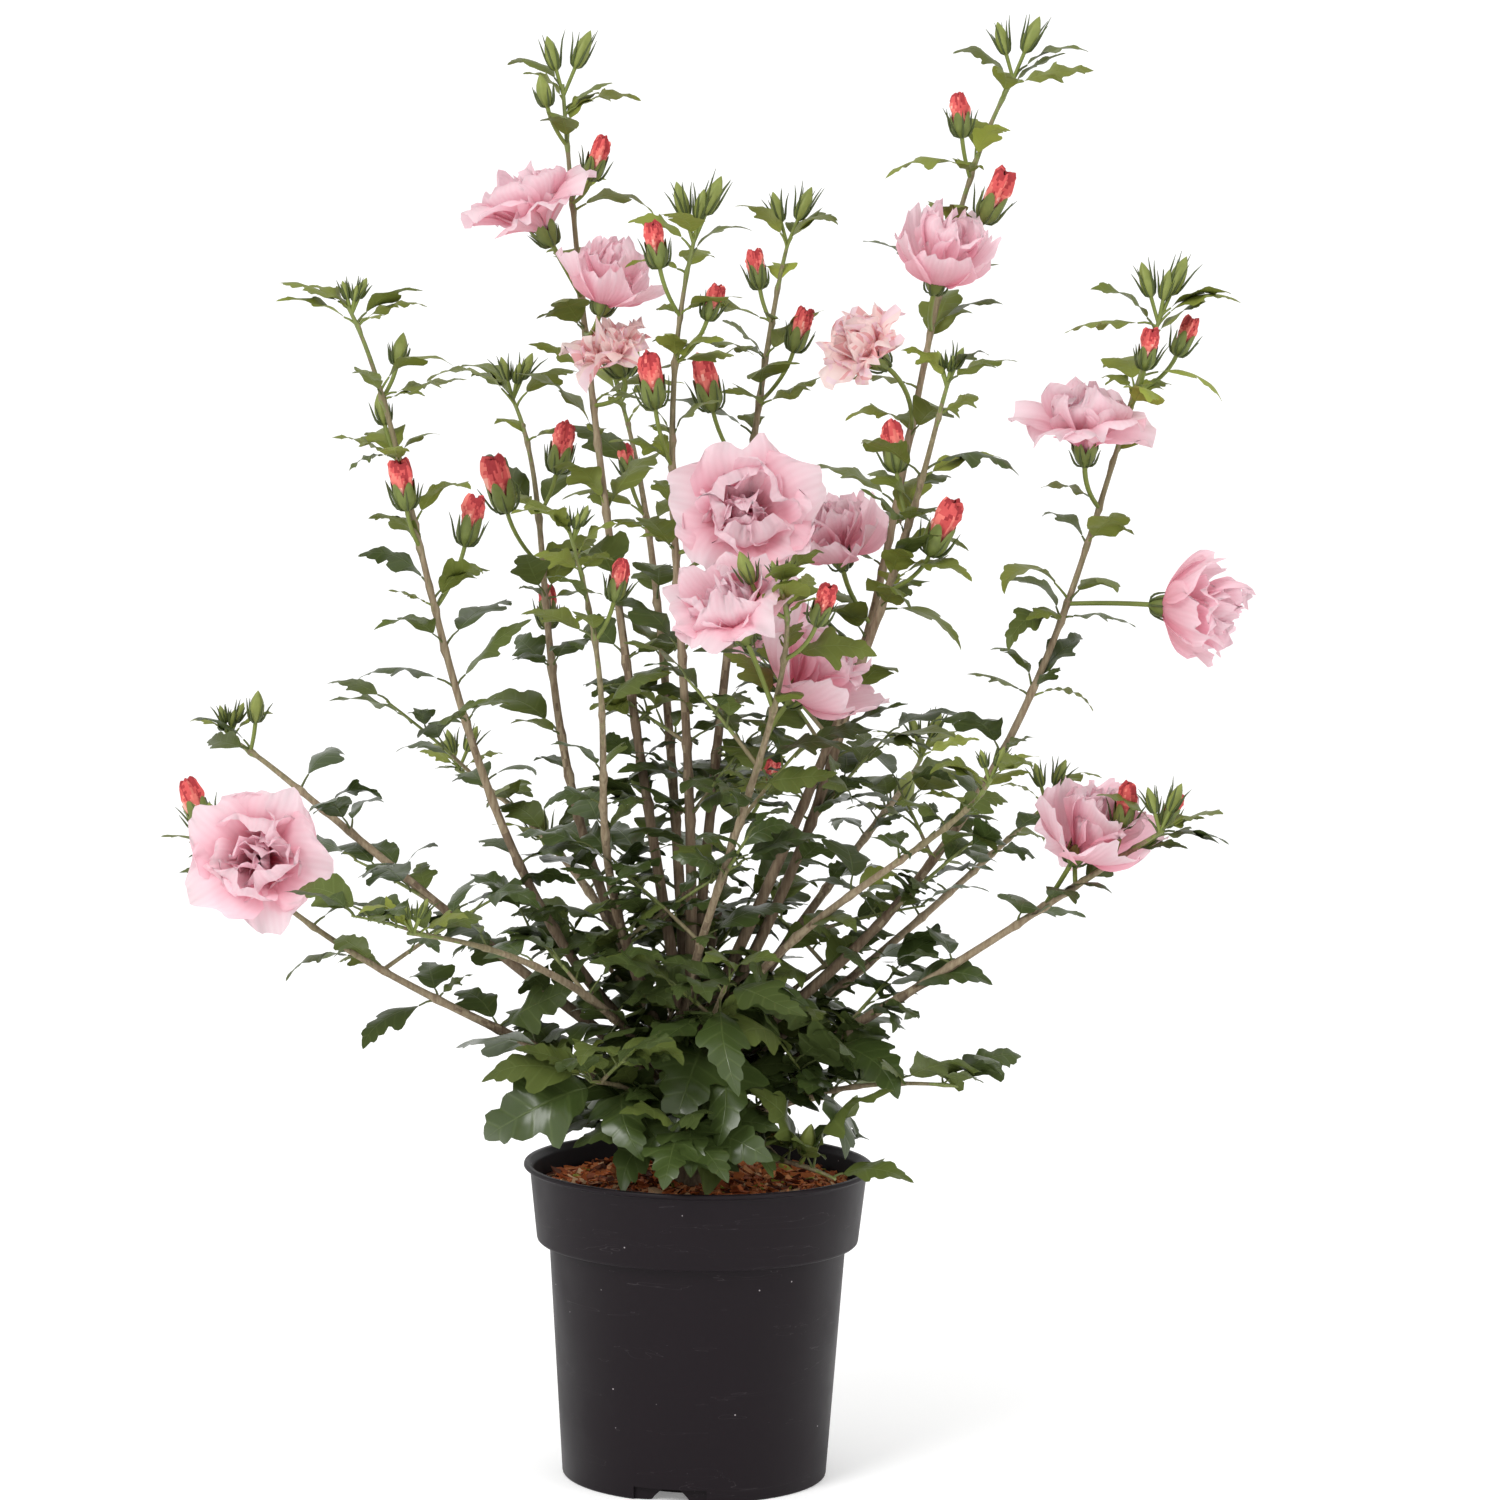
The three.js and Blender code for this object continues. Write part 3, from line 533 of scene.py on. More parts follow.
# %% The bed and its chips
SOIL_TOP = 195
SOIL_EDGE = 191.5
SOIL_FLAT_RADIUS = 45
BED_RADIUS = 107
BED_SKIRT = 30  # how far the bed's edge reaches down beside the wall
BED_LUMP = 1.3
CHIP_COUNT = 1900
CHIP_ZONE = 101
CHIP_LENGTHS = (3, 14)
CHIP_SHRINK = 2.0  # above 1 makes most chips short
BARK_TINTS = ["#d87b42", "#b75c2d", "#e89d66", "#70391f", "#f4c799", "#a8a53c"]
BARK_SHARES = [0.34, 0.27, 0.14, 0.16, 0.07, 0.02]  # the last is a little moss
BED_TINT = 3
BED_RINGS, BED_SIDES = 30, 90


def soil_height(radius):
    return np.interp(radius, [SOIL_FLAT_RADIUS, BED_RADIUS], [SOIL_TOP, SOIL_EDGE])


def add_bed(heap, draws):
    radii = np.linspace(BED_RADIUS, 6, BED_RINGS)
    angles = np.arange(BED_SIDES) * 2 * math.pi / BED_SIDES
    radius, angle = np.meshgrid(radii, angles, indexing="ij")
    lumps = np.sin(9 * angle + radius / 5) * np.sin(radius / 4) + 0.6 * draws.standard_normal(radius.shape)
    height = soil_height(radius) + BED_LUMP * (lumps * 0.5 - 0.4)
    top = np.stack([radius * np.cos(angle), radius * np.sin(angle), height], axis=-1)
    skirt = top[:1] - UP * BED_SKIRT
    skirt[..., :2] *= 0.965
    heap.add_sheet(np.concatenate([skirt, top]), BED_TINT, closed=True)


BLOCK_CORNERS = np.array([[x, y, z] for z in (-1, 1) for x, y in ((-1, -1), (1, -1), (1, 1), (-1, 1))]) * 0.5


def add_chip(heap, draws):
    """One chip: a block, longer than it is wide, pinched at one end and lying at a slant."""
    radius = CHIP_ZONE * math.sqrt(draws.uniform(0.02, 1))
    heading = draws.uniform(0, 360)
    share = draws.uniform(0, 1) ** CHIP_SHRINK
    length = CHIP_LENGTHS[0] + share * (CHIP_LENGTHS[1] - CHIP_LENGTHS[0])
    width = length * draws.uniform(0.28, 0.6)
    thickness = draws.uniform(0.7, 1.9)
    corners = BLOCK_CORNERS * [length, width, thickness] + draws.uniform(-0.12, 0.12, (8, 3)) * length
    corners[:, 1:] *= np.where(corners[:, :1] > 0, draws.uniform(0.3, 1), 1)
    lean = draws.normal(0, 0.35, 2)
    turn_angle = draws.uniform(0, 2 * math.pi)
    first = unit(np.array([math.cos(turn_angle), math.sin(turn_angle), lean[0]]))
    second = unit(np.cross([lean[1] * math.sin(turn_angle), lean[1] * math.cos(turn_angle), 1], first))
    axes = np.array([first, second, np.cross(first, second)])
    rise = soil_height(radius) + draws.uniform(-0.6, 1.2)
    place = direction(heading, 0) * radius + UP * rise
    tint = draws.choice(len(BARK_TINTS), p=BARK_SHARES)
    heap.add(corners @ axes + place, [BLOCK_FACES], tint)


FIBRE_SPACING = 0.7
PATCH_SIZE = 6


def bark_chip_material(name, tint):
    """Shredded pine bark: dry, matt cork with fine fibres and darker patches."""
    material, tree = new_material(name)
    place = object_place(tree)
    fibres = noise(tree, place, FIBRE_SPACING, 4.0)
    patches = noise(tree, place, PATCH_SIZE, 2.0)
    dark = (*(value * 0.5 for value in linear(tint)[:3]), 1.0)
    colour = mixed(tree, 0.35, mixed(tree, patches, dark, linear(tint)), fibres, "OVERLAY")
    bumps = relief(tree, fibres, 0.5, 0.0005)
    return finished(material, tree, {"Base Color": colour, "Roughness": 0.9, "IOR": 1.4, "Normal": bumps})


mulch = Heap("bark_mulch_bed")
mulch_draws = np.random.default_rng(11)
add_bed(mulch, mulch_draws)
for _ in range(CHIP_COUNT):
    add_chip(mulch, mulch_draws)
bark_chips = [bark_chip_material(f"shredded pine bark {k + 1}", tint) for k, tint in enumerate(BARK_TINTS)]
settle(mulch.mesh(), "bark_mulch_bed", bark_chips, ["bark_mulch"], sharp_angle=30)

# %% [markdown]
# ## The plan of the plant
#
# These tables are the plan that the CAD solids were grown from, in millimetres. The stems are the same.
# Three blooms and a few buds are moved by up to 10 mm, left out or added. Each wand leaves the trunk at
# its foot, is pulled towards two handles and ends at its tip. Blooms and buds leave a wand at a share of
# its length. The low shoots only need a heading, a rise and a length.

# %% Trunk, wands and shoots
TRUNK_FOOT = np.array([-4, 0, 195.3])
TRUNK_FORK = np.array([-8, 0, 286])
TRUNK_FOOT_RADIUS = 15
TRUNK_FORK_RADIUS = 11
TRUNK_FLARE = 7
TRUNK_FLARE_HEIGHT = 14
WAND_RADII = (4.3, 1.5)
SHOOT_RADII = (2.8, 1.3)
BOUGH_SHARE = 0.17
EARLY_DEPTH = 0.12
LATE_DEPTH = 0.6
SHOOT_SAG = 0.12

# name, foot, low handle (x, z), high handle (x, z), tip, buds round the tip
WANDS = [
    ("left_tall", 262, (-175, 380), (-175, 660), (-230, -60, 765), 3),
    ("left_mid", 270, (-135, 460), (-90, 625), (-135, 120, 705), 3),
    ("left_front", 250, (-105, 445), (-35, 460), (-85, -140, 630), 3),
    ("left_top", 282, (-55, 530), (-85, 745), (-100, 60, 910), 2),
    ("centre_back", 280, (-25, 545), (-40, 640), (-65, 210, 705), 2),
    ("centre_top", 284, (0, 540), (-45, 665), (-10, -50, 815), 3),
    ("centre_right", 280, (10, 540), (35, 755), (50, 140, 810), 2),
    ("right_top", 274, (145, 505), (115, 785), (198, 50, 924), 2),
    ("right_front", 278, (130, 580), (135, 665), (150, -110, 725), 3),
    ("right_tall", 262, (225, 420), (230, 590), (290, -20, 770), 3),
    ("right_inner", 255, (25, 370), (160, 425), (180, -150, 480), 2),
    ("right_low", 236, (155, 330), (260, 420), (290, -120, 445), 2),
    ("left_low", 234, (-155, 310), (-220, 335), (-298, -110, 418), 2),
    ("left_far", 248, (-240, 420), (-280, 460), (-320, 80, 475), 3),
    ("front_left", 240, (-55, 325), (-115, 365), (-180, -185, 382), 2),
    ("front_centre", 258, (-45, 290), (80, 550), (45, -190, 600), 2),
    ("back_right", 260, (110, 435), (135, 435), (150, 230, 455), 2),
    ("back_left", 266, (-70, 400), (-130, 430), (-175, 225, 440), 2),
    ("back_centre", 252, (10, 400), (25, 430), (30, 290, 430), 2),
    ("back_far_right", 244, (130, 350), (190, 400), (235, 165, 430), 2),
]
# name, foot, heading, rise, length
SHOOTS = [
    ("low_shoot_front", 216, -95, 22, 96),
    ("low_shoot_rim", 208, -37, 8, 118),
    ("low_shoot_right", 224, -14, 20, 190),
    ("low_shoot_back_right", 214, 38, 18, 125),
    ("low_shoot_back", 220, 88, 24, 130),
    ("low_shoot_back_left", 212, 142, 16, 130),
    ("low_shoot_left", 218, 196, 14, 112),
    ("low_shoot_front_left", 226, 232, 30, 120),
    ("inner_shoot_front", 246, -72, 52, 135),
    ("inner_shoot_right", 240, 8, 50, 150),
    ("inner_shoot_back", 242, 112, 54, 150),
    ("inner_shoot_left", 250, 172, 56, 140),
]


def on_trunk(height):
    """The point on the trunk's line at a height."""
    share = (height - TRUNK_FOOT[2]) / (TRUNK_FORK[2] - TRUNK_FOOT[2])
    return TRUNK_FOOT + share * (TRUNK_FORK - TRUNK_FOOT)


class Stem:
    """A wand or a shoot: its curve, its radii at foot and tip, and where its leaves stand."""

    def __init__(self, name, handles, radii, start, buds):
        self.name = name
        self.handles = handles
        self.radii = radii
        self.start = start
        self.buds = buds
        self.nodes = []
        self.length = np.linalg.norm(np.diff(self.at(np.linspace(0, 1, 60)), axis=0), axis=1).sum()

    def at(self, share):
        return bezier(self.handles, share)

    def share_of_millimetre(self, share):
        return 0.001 / np.linalg.norm(self.at(share + 0.001) - self.at(share))


stems = []
for name, foot, low, high, tip, buds in WANDS:
    handles = [
        on_trunk(foot),
        (low[0], tip[1] * EARLY_DEPTH, low[1]),
        (high[0], tip[1] * LATE_DEPTH, high[1]),
        tip,
    ]
    stems.append(Stem(name, handles, WAND_RADII, BOUGH_SHARE, buds))
for name, foot, heading, rise, length in SHOOTS:
    start = on_trunk(foot)
    end = start + direction(heading, rise) * length - UP * SHOOT_SAG * length * math.cos(math.radians(rise))
    handles = [start, start + direction(heading, rise + 8) * length * 0.55, end]
    stems.append(Stem(name, handles, SHOOT_RADII, 0, 0))
stem_named = {stem.name: stem for stem in stems}
print(len(stems), "stems, the longest", round(max(stem.length for stem in stems)), "mm")

# %% Blooms and buds
# wand, share, calyx from there, heading and rise that it faces, width, depth as a share, look
BLOOMS = [
    ("left_top", 0.74, (-18, -22, 33), 190, 60, 90, 0.42, "fresh"),
    ("left_top", 0.7, (10, -37, 12), -40, 68, 60, 0.62, "fresh"),
    ("left_top", 0.62, (20, -28, 20), 215, 60, 58, 0.42, "faded"),
    ("right_top", 0.68, (0, -28, 24), -66, 62, 66, 0.68, "fresh"),
    ("right_top", 0.58, (-17, -42, 42), 215, 34, 60, 0.5, "faded"),
    ("centre_top", 0.54, (41, -40, 20), -84, 16, 98, 0.46, "fresh"),
    ("right_top", 0.4, (-19, -30, 37), -115, 60, 64, 0.6, "fresh"),
    ("front_centre", 0.72, (-17, -30, 44), -118, 46, 84, 0.5, "fresh"),
    ("front_centre", 0.6, (21, 12, 50), -28, 48, 80, 0.56, "fresh"),
    ("right_tall", 0.76, (-11, -18, 27), -95, 76, 92, 0.4, "fresh"),
    ("right_tall", 0.64, (52, -10, 1), -12, -2, 72, 0.62, "fresh"),
    ("right_low", 0.6, (16, -15, 30), -50, 54, 76, 0.6, "fresh"),
    ("left_low", 0.89, (-2, -22, 25), -92, 10, 92, 0.44, "fresh"),
    ("centre_right", 0.46, (-6, 38, 10), 85, 28, 86, 0.45, "fresh"),
    ("centre_right", 0.37, (16, 40, 6), 80, 15, 70, 0.5, "fresh"),
    ("left_low", 0.96, (6, 24, 6), 95, 8, 60, 0.5, "fresh"),
    ("right_low", 0.68, (2, 28, 28), 80, 8, 58, 0.5, "fresh"),
]
# wand, share, the bud's foot from there, its size, whether the petals show
BUDS = [
    ("left_top", 0.85, (12, -14, 15), 1.0, True),
    ("left_top", 0.92, (-13, -8, 25), 0.72, False),
    ("centre_top", 0.66, (-11, -20, 38), 1.2, True),
    ("centre_top", 0.81, (20, -12, 28), 0.8, True),
    ("centre_top", 0.88, (-13, -15, 30), 1.0, True),
    ("centre_right", 0.56, (-24, -25, 44), 1.25, True),
    ("centre_right", 0.66, (22, -10, 34), 1.0, True),
    ("centre_right", 0.79, (-8, 10, 22), 0.9, True),
    ("right_top", 0.85, (-6, -5, 26), 0.95, True),
    ("right_top", 0.77, (20, -14, 16), 1.25, True),
    ("right_front", 0.61, (-8, 12, 32), 1.1, True),
    ("right_front", 0.49, (26, -15, 24), 1.3, True),
    ("front_centre", 0.81, (19, -22, 23), 0.95, True),
    ("front_centre", 0.9, (-22, -14, 22), 0.72, False),
    ("left_tall", 0.59, (18, 12, 40), 1.1, True),
    ("left_tall", 0.66, (-8, -14, 25), 1.1, True),
    ("left_tall", 0.76, (-11, 10, 25), 0.72, False),
    ("left_tall", 0.85, (8, 10, 20), 0.72, False),
    ("left_mid", 0.65, (-23, -20, 37), 1.3, True),
    ("left_mid", 0.74, (12, -12, 28), 1.15, True),
    ("centre_back", 0.66, (-12, 16, 26), 0.8, True),
    ("left_front", 0.84, (12, -14, 26), 0.9, True),
    ("right_tall", 0.88, (8, -12, 26), 0.9, True),
    ("right_tall", 0.9, (27, 10, 24), 0.9, True),
    ("right_low", 0.78, (6, -12, 24), 1.0, True),
    ("right_low", 0.87, (18, 12, 12), 0.8, True),
    ("left_low", 0.93, (-34, 16, 30), 1.15, True),
    ("back_left", 0.5, (-12, 28, 6), 1.0, False),
    ("back_centre", 0.6, (18, 20, 20), 1.0, True),
    ("back_right", 0.6, (10, 28, 0), 1.0, False),
    ("left_mid", 0.5, (-4, 32, 22), 1.0, True),
    ("low_shoot_rim", 0.74, (3, -5, 7), 0.76, False),
    ("left_low", 0.97, (-14, -6, 22), 0.7, False),
    ("left_far", 0.86, (4, -8, 20), 0.72, False),
]
BUD_LENGTH = 31
BUD_WIDTH = 14

bloom_plans = []
for wand, at, calyx, heading, rise, width, depth, look in BLOOMS:
    root = stem_named[wand].at(at)
    bloom_plans.append((root, root + calyx, direction(heading, rise), width, depth, look))
    stem_named[wand].nodes.append(at)
bud_plans = []
for wand, at, foot, size, is_open in BUDS:
    root = stem_named[wand].at(at)
    base = root + foot
    bud_plans.append((root, base, unit(unit(base - root) + UP), size, is_open))
    stem_named[wand].nodes.append(at)
print(len(bloom_plans), "blooms and", len(bud_plans), "buds on stalks")

# %% [markdown]
# ## Growing the leaves
#
# A hibiscus sets its leaves in a spiral: each leaf stands about 137.5 degrees further round the stem
# than the one below. Near the trunk and below mid height the plant is dense, and most nodes also carry
# a side twig. Further out it is open. The rule draws its chances from the same small generator as the
# CAD model, in the same order, so the large leaves come out where the solids have them. A second stream
# of chances then drops most of the outer twigs and adds what the solids leave out: small leaves beside
# the large ones, nodes between the nodes, and leaves at the buds and tips.

# %% The growth rule's numbers
LEAF_LENGTH = 64
LEAF_STALK = 0.2
NODE_SPACING = 50
NODE_TURN = 137.5
SHOOT_SPACING = 32
DENSE_TOP = 500
TWIG_SHARE = 0.58
TWIG_LENGTH = 74
FIRST_NODE = 0.05
LAST_NODE = 0.97
FIRST_SEED = 7019
SEED_STEP = 131
GAP = 0.3
CROWDED_HEIGHTS = (215, 290, 380)  # the plant is dense within a distance of the trunk, told by height
CROWDED_REACHES = (45, 135, 85)
# How likely things are where the plant is dense, and where it is open.
TWIG_KEPT = (1.0, 0.3)
AXIL_SHARES = (0.4, 0.14)
BETWEEN_SHARES = (0.6, 0.2)
HIGH_BETWEEN_SHARE = 0.12
TWIN_SHARES = (0.46, 0.12)
# The leaves of a twig: a share of its length, and a turn from its heading.
TWIG_LEAVES = ((0.42, 62), (0.74, -58), (0.97, 4))
SMALL_TWIG_LEAVES = ((0.22, -70), (0.58, 60))
AXIL_TURNS = (-75, 80)


def lehmer(seed):
    """The CAD model's own random generator."""
    state = seed
    while True:
        state = state * 48271 % 2147483647
        yield state / 2147483647


def smoothstep(value, low, high):
    share = min(max((value - low) / (high - low), 0), 1)
    return share * share * (3 - 2 * share)


print("the first two draws are", [round(value, 4) for value, _ in zip(lehmer(FIRST_SEED), range(2))])

# %% Room for a leaf
# A leaf is left out where it would stick in a bloom, a bud, another stem, the pot or the mulch, or
# where it would reach beyond the CAD model.
REACH_MARGIN = 7
STEM_CLEARANCE = 3.2
BUD_CLEARANCE = 8
SOIL_CLEARANCE = 3
STEM_SAMPLES = 70
WALL_ZONE = (103, 119)  # the radii in which a leaf has to pass over the rim
SKIRT_TOP = 252  # lower than this, leaves don't reach out further than the next radius
SKIRT_RADIUS = 130

bloom_centres = np.array(
    [base + facing * width * depth * 0.6 for _, base, facing, width, depth, _ in bloom_plans]
)
bloom_reaches = np.array([width * 0.43 for *_, width, _, _ in bloom_plans])
bud_centres = np.array([base + along * BUD_LENGTH * size * 0.5 for _, base, along, size, _ in bud_plans])
stem_samples = np.concatenate([stem.at(np.linspace(0.04, 1, STEM_SAMPLES)) for stem in stems])
stem_owners = np.repeat(np.arange(len(stems)), STEM_SAMPLES)
LOW_LIMIT = np.array(cad_low) / MM - REACH_MARGIN
HIGH_LIMIT = np.array(cad_high) / MM + REACH_MARGIN


def leaf_line(leaf):
    """Five points along a leaf's blade, raised in the middle as the leaf arches."""
    shares = np.array([0.4, 0.55, 0.7, 0.85, 1.0])
    along = direction(leaf["heading"], leaf["rise"])
    lift = 0.22 * leaf["length"] * np.sin(np.pi * shares)
    return leaf["root"] + along * (leaf["length"] * shares)[:, None] + UP * lift[:, None]


def distances(points, others):
    return np.linalg.norm(points[:, None] - others[None], axis=-1)


def has_room(leaf, owner, over_rim):
    """Whether a leaf is clear of all but the other leaves. over_rim lets it reach beyond the skirt."""
    line = leaf_line(leaf)
    if (line < LOW_LIMIT).any() or (line > HIGH_LIMIT).any():
        return False
    height = line[:, 2]
    radius = np.hypot(line[:, 0], line[:, 1])
    inside = radius < WALL_ZONE[0]
    over_wall = ~inside & (radius <= WALL_ZONE[1])
    if (height[inside] < SOIL_TOP + SOIL_CLEARANCE).any():
        return False
    if (height[over_wall] < POT_HEIGHT + SOIL_CLEARANCE).any():
        return False
    if not over_rim and ((height < SKIRT_TOP) & (radius > SKIRT_RADIUS)).any():
        return False
    if (distances(line, bloom_centres) < bloom_reaches).any():
        return False
    if (distances(line, bud_centres) < BUD_CLEARANCE).any():
        return False
    others = stem_samples[stem_owners != owner]
    return not (distances(line[1:], others) < STEM_CLEARANCE).any()


print("the plant's reach is", np.round(HIGH_LIMIT - LOW_LIMIT), "mm")

# %% Grow
leaves = []
twigs = []


def add_leaf(owner, root, heading, rise, roll, length, age, over_rim=False):
    """Keeps a leaf if it has room. age runs from 0, old and dark, to 1; below 0 a leaf is glossy too."""
    leaf = {"root": root, "heading": heading, "rise": rise, "roll": roll, "length": length, "age": age}
    if has_room(leaf, owner, over_rim):
        leaves.append(leaf)


def age_at(root, youth):
    """Leaves are darker low down and inside, and fresher at the tips."""
    return 0.55 * smoothstep(root[2], 360, 790) + 0.3 * youth


def openness(root):
    """1 if a place is so far out that the plant is open there, otherwise 0."""
    return int(math.hypot(root[0], root[1]) > np.interp(root[2], CROWDED_HEIGHTS, CROWDED_REACHES))


def side_angle(draws):
    """An angle to one side or the other of straight on."""
    return draws.choice([-1, 1]) * draws.uniform(25, 85)


def add_twig(owner, root, heading, rise, length, drawn, draws):
    """A side twig: the CAD model's three leaves, and the small ones between them."""
    along = direction(heading, rise)
    twigs.append((root, root + along * length))
    spray = age_at(root, 0) + draws.normal(0, 0.08)
    for share, turn_angle, leaf_heading, leaf_rise, roll, leaf_length in drawn:
        place = root + along * length * share
        add_leaf(owner, place, leaf_heading, leaf_rise, roll, leaf_length, spray)
        side = leaf_heading + draws.uniform(70, 130) * (1 if turn_angle < 0 else -1)
        small = leaf_length * 0.6
        if draws.uniform() < TWIN_SHARES[openness(root)]:
            add_leaf(owner, place, side, draws.uniform(0, 30), draws.uniform(-20, 20), small, spray + 0.1)
    for share, turn_angle in SMALL_TWIG_LEAVES:
        place = root + along * length * share
        small = LEAF_LENGTH * draws.uniform(0.6, 0.85)
        bearing = heading + turn_angle + draws.uniform(-20, 20)
        add_leaf(owner, place, bearing, draws.uniform(0, 30), draws.uniform(-20, 20), small, spray + 0.05)


def grow(index, stem):
    """The nodes of one stem, from its foot to its tip."""
    chances = lehmer(FIRST_SEED + SEED_STEP * index)
    draws = np.random.default_rng(FIRST_SEED + index)
    is_shoot = stem.start == 0
    first = 0 if is_shoot else stem.start + GAP * stem.share_of_millimetre(stem.start)
    heading = 360 * next(chances)
    share = first + (0.3 if is_shoot else FIRST_NODE)
    while share < LAST_NODE:
        root = stem.at(share)
        stem.nodes.append(share)
        heading += NODE_TURN + 40 * (next(chances) - 0.5)
        youth = smoothstep(share, 0.55, 1)
        rise = (12 if root[2] < DENSE_TOP else 24) + 24 * (next(chances) - 0.5)
        roll = 36 * (next(chances) - 0.5)
        length = LEAF_LENGTH * (0.86 + 0.3 * next(chances)) * (1 - 0.38 * youth)
        age = age_at(root, youth) + draws.normal(0, 0.06)
        add_leaf(index, root, heading, rise, roll, length, age)
        twig_heading = heading + 180 + 60 * (next(chances) - 0.5)
        twig_rise = 16 + 34 * next(chances)
        twig_length = TWIG_LENGTH * (0.6 + 0.8 * next(chances)) * (0.6 if is_shoot else 1)
        has_twig = next(chances) < TWIG_SHARE
        if has_twig and root[2] < DENSE_TOP:
            drawn = []
            for place, turn_angle in TWIG_LEAVES:
                leaf_heading = twig_heading + turn_angle + 24 * (next(chances) - 0.5)
                leaf_rise = 14 + 22 * (next(chances) - 0.5)
                leaf_roll = 40 * (next(chances) - 0.5)
                leaf_length = LEAF_LENGTH * (0.78 + 0.34 * next(chances))
                drawn.append((place, turn_angle, leaf_heading, leaf_rise, leaf_roll, leaf_length))
            if draws.uniform() < TWIG_KEPT[openness(root)]:
                add_twig(index, root, twig_heading, twig_rise, twig_length, drawn, draws)
        elif next(chances) < 0.5:
            add_leaf(index, root, twig_heading, rise, roll, length * 0.8, age)
        # Small leaves in the axils of the large one.
        low = root[2] < DENSE_TOP
        for side in AXIL_TURNS:
            if draws.uniform() < AXIL_SHARES[openness(root)]:
                small = LEAF_LENGTH * draws.uniform(0.4, 0.68)
                bearing = heading + side + draws.uniform(-25, 25)
                rise_here, roll_here = draws.uniform(-5, 35), draws.uniform(-20, 20)
                add_leaf(index, root, bearing, rise_here, roll_here, small, age + 0.14)
        spacing = (SHOOT_SPACING if is_shoot else NODE_SPACING) * (0.8 + 0.4 * next(chances))
        # A node between this one and the next.
        between = share + 0.5 * spacing * stem.share_of_millimetre(share)
        root = stem.at(between)
        bearing = heading + NODE_TURN / 2 + draws.uniform(-50, 50)
        likely = BETWEEN_SHARES[openness(root)] if low else HIGH_BETWEEN_SHARE
        if between < LAST_NODE and draws.uniform() < likely:
            stem.nodes.append(between)
            medium = LEAF_LENGTH * draws.uniform(0.66, 0.98) * (1 - 0.3 * youth)
            rise = draws.uniform(-6, 24) + (0 if low else 8)
            add_leaf(index, root, bearing, rise, draws.uniform(-18, 18), medium, age)
            if low and draws.uniform() < TWIN_SHARES[openness(root)]:
                add_leaf(index, root, bearing + 160, rise, draws.uniform(-18, 18), medium * 0.7, age + 0.05)
        share += spacing * stem.share_of_millimetre(share)
    last = stem.at(1) - stem.at(0)
    last_heading = math.degrees(math.atan2(last[1], last[0]))
    age = 0.12 if is_shoot else 0.7
    for side in (-40, 32) if is_shoot else (-8,):
        add_leaf(index, stem.at(0.99), last_heading + side, 16, 0, LEAF_LENGTH * 0.78, age)


for index, stem in enumerate(stems):
    grow(index, stem)

# Leaves where the stalks of buds and blooms leave the stem, and a ruff of small ones at each tip.
bud_draws = np.random.default_rng(2)
for root, base, *_ in bloom_plans + bud_plans:
    toward = base - root
    heading = math.degrees(math.atan2(toward[1], toward[0]))
    for side, share in ((side_angle(bud_draws), 1), (180 + side_angle(bud_draws), 0.45)):
        length = LEAF_LENGTH * bud_draws.uniform(0.6, 0.95) * (1 if share == 1 else 0.6)
        age = age_at(root, 0.5) + bud_draws.uniform(-0.05, 0.2)
        if share == 1 or bud_draws.uniform() < share:
            rise, roll = bud_draws.uniform(0, 30), bud_draws.uniform(-18, 18)
            add_leaf(-1, root, heading + side, rise, roll, length, age)
for stem in stems:
    for k in range(2 if stem.buds else 0):
        heading = bud_draws.uniform(-25, 25) + (-12, 190)[k]
        length = LEAF_LENGTH * bud_draws.uniform(0.5, 0.8)
        place = stem.at(0.965 + 0.01 * k)
        add_leaf(-1, place, heading, bud_draws.uniform(12, 36), bud_draws.uniform(-15, 15), length, 0.7)

# Old leaves that hide the bare foot of each wand.
FOOT_PLACES = (0.06, 0.1, 0.14, 0.18, 0.22, 0.26)
FOOT_LEAF_SHARE = 0.75
FOOT_LEAF_AGE = 0.05
for index, stem in enumerate(stems[:len(WANDS)]):
    bearing = math.degrees(math.atan2(*(stem.at(0.2) - stem.at(0))[1::-1]))
    for k, share in enumerate(FOOT_PLACES):
        if bud_draws.uniform() < FOOT_LEAF_SHARE:
            heading = bearing + (-1) ** k * bud_draws.uniform(30, 100)
            length = LEAF_LENGTH * bud_draws.uniform(0.7, 1)
            rise, roll = bud_draws.uniform(-15, 25), bud_draws.uniform(-18, 18)
            add_leaf(index, stem.at(share), heading, rise, roll, length, FOOT_LEAF_AGE)

# The largest, oldest leaves hang in front of the trunk, and some of them over the pot's rim.
OLD_LEAF_GAIN = 1.12
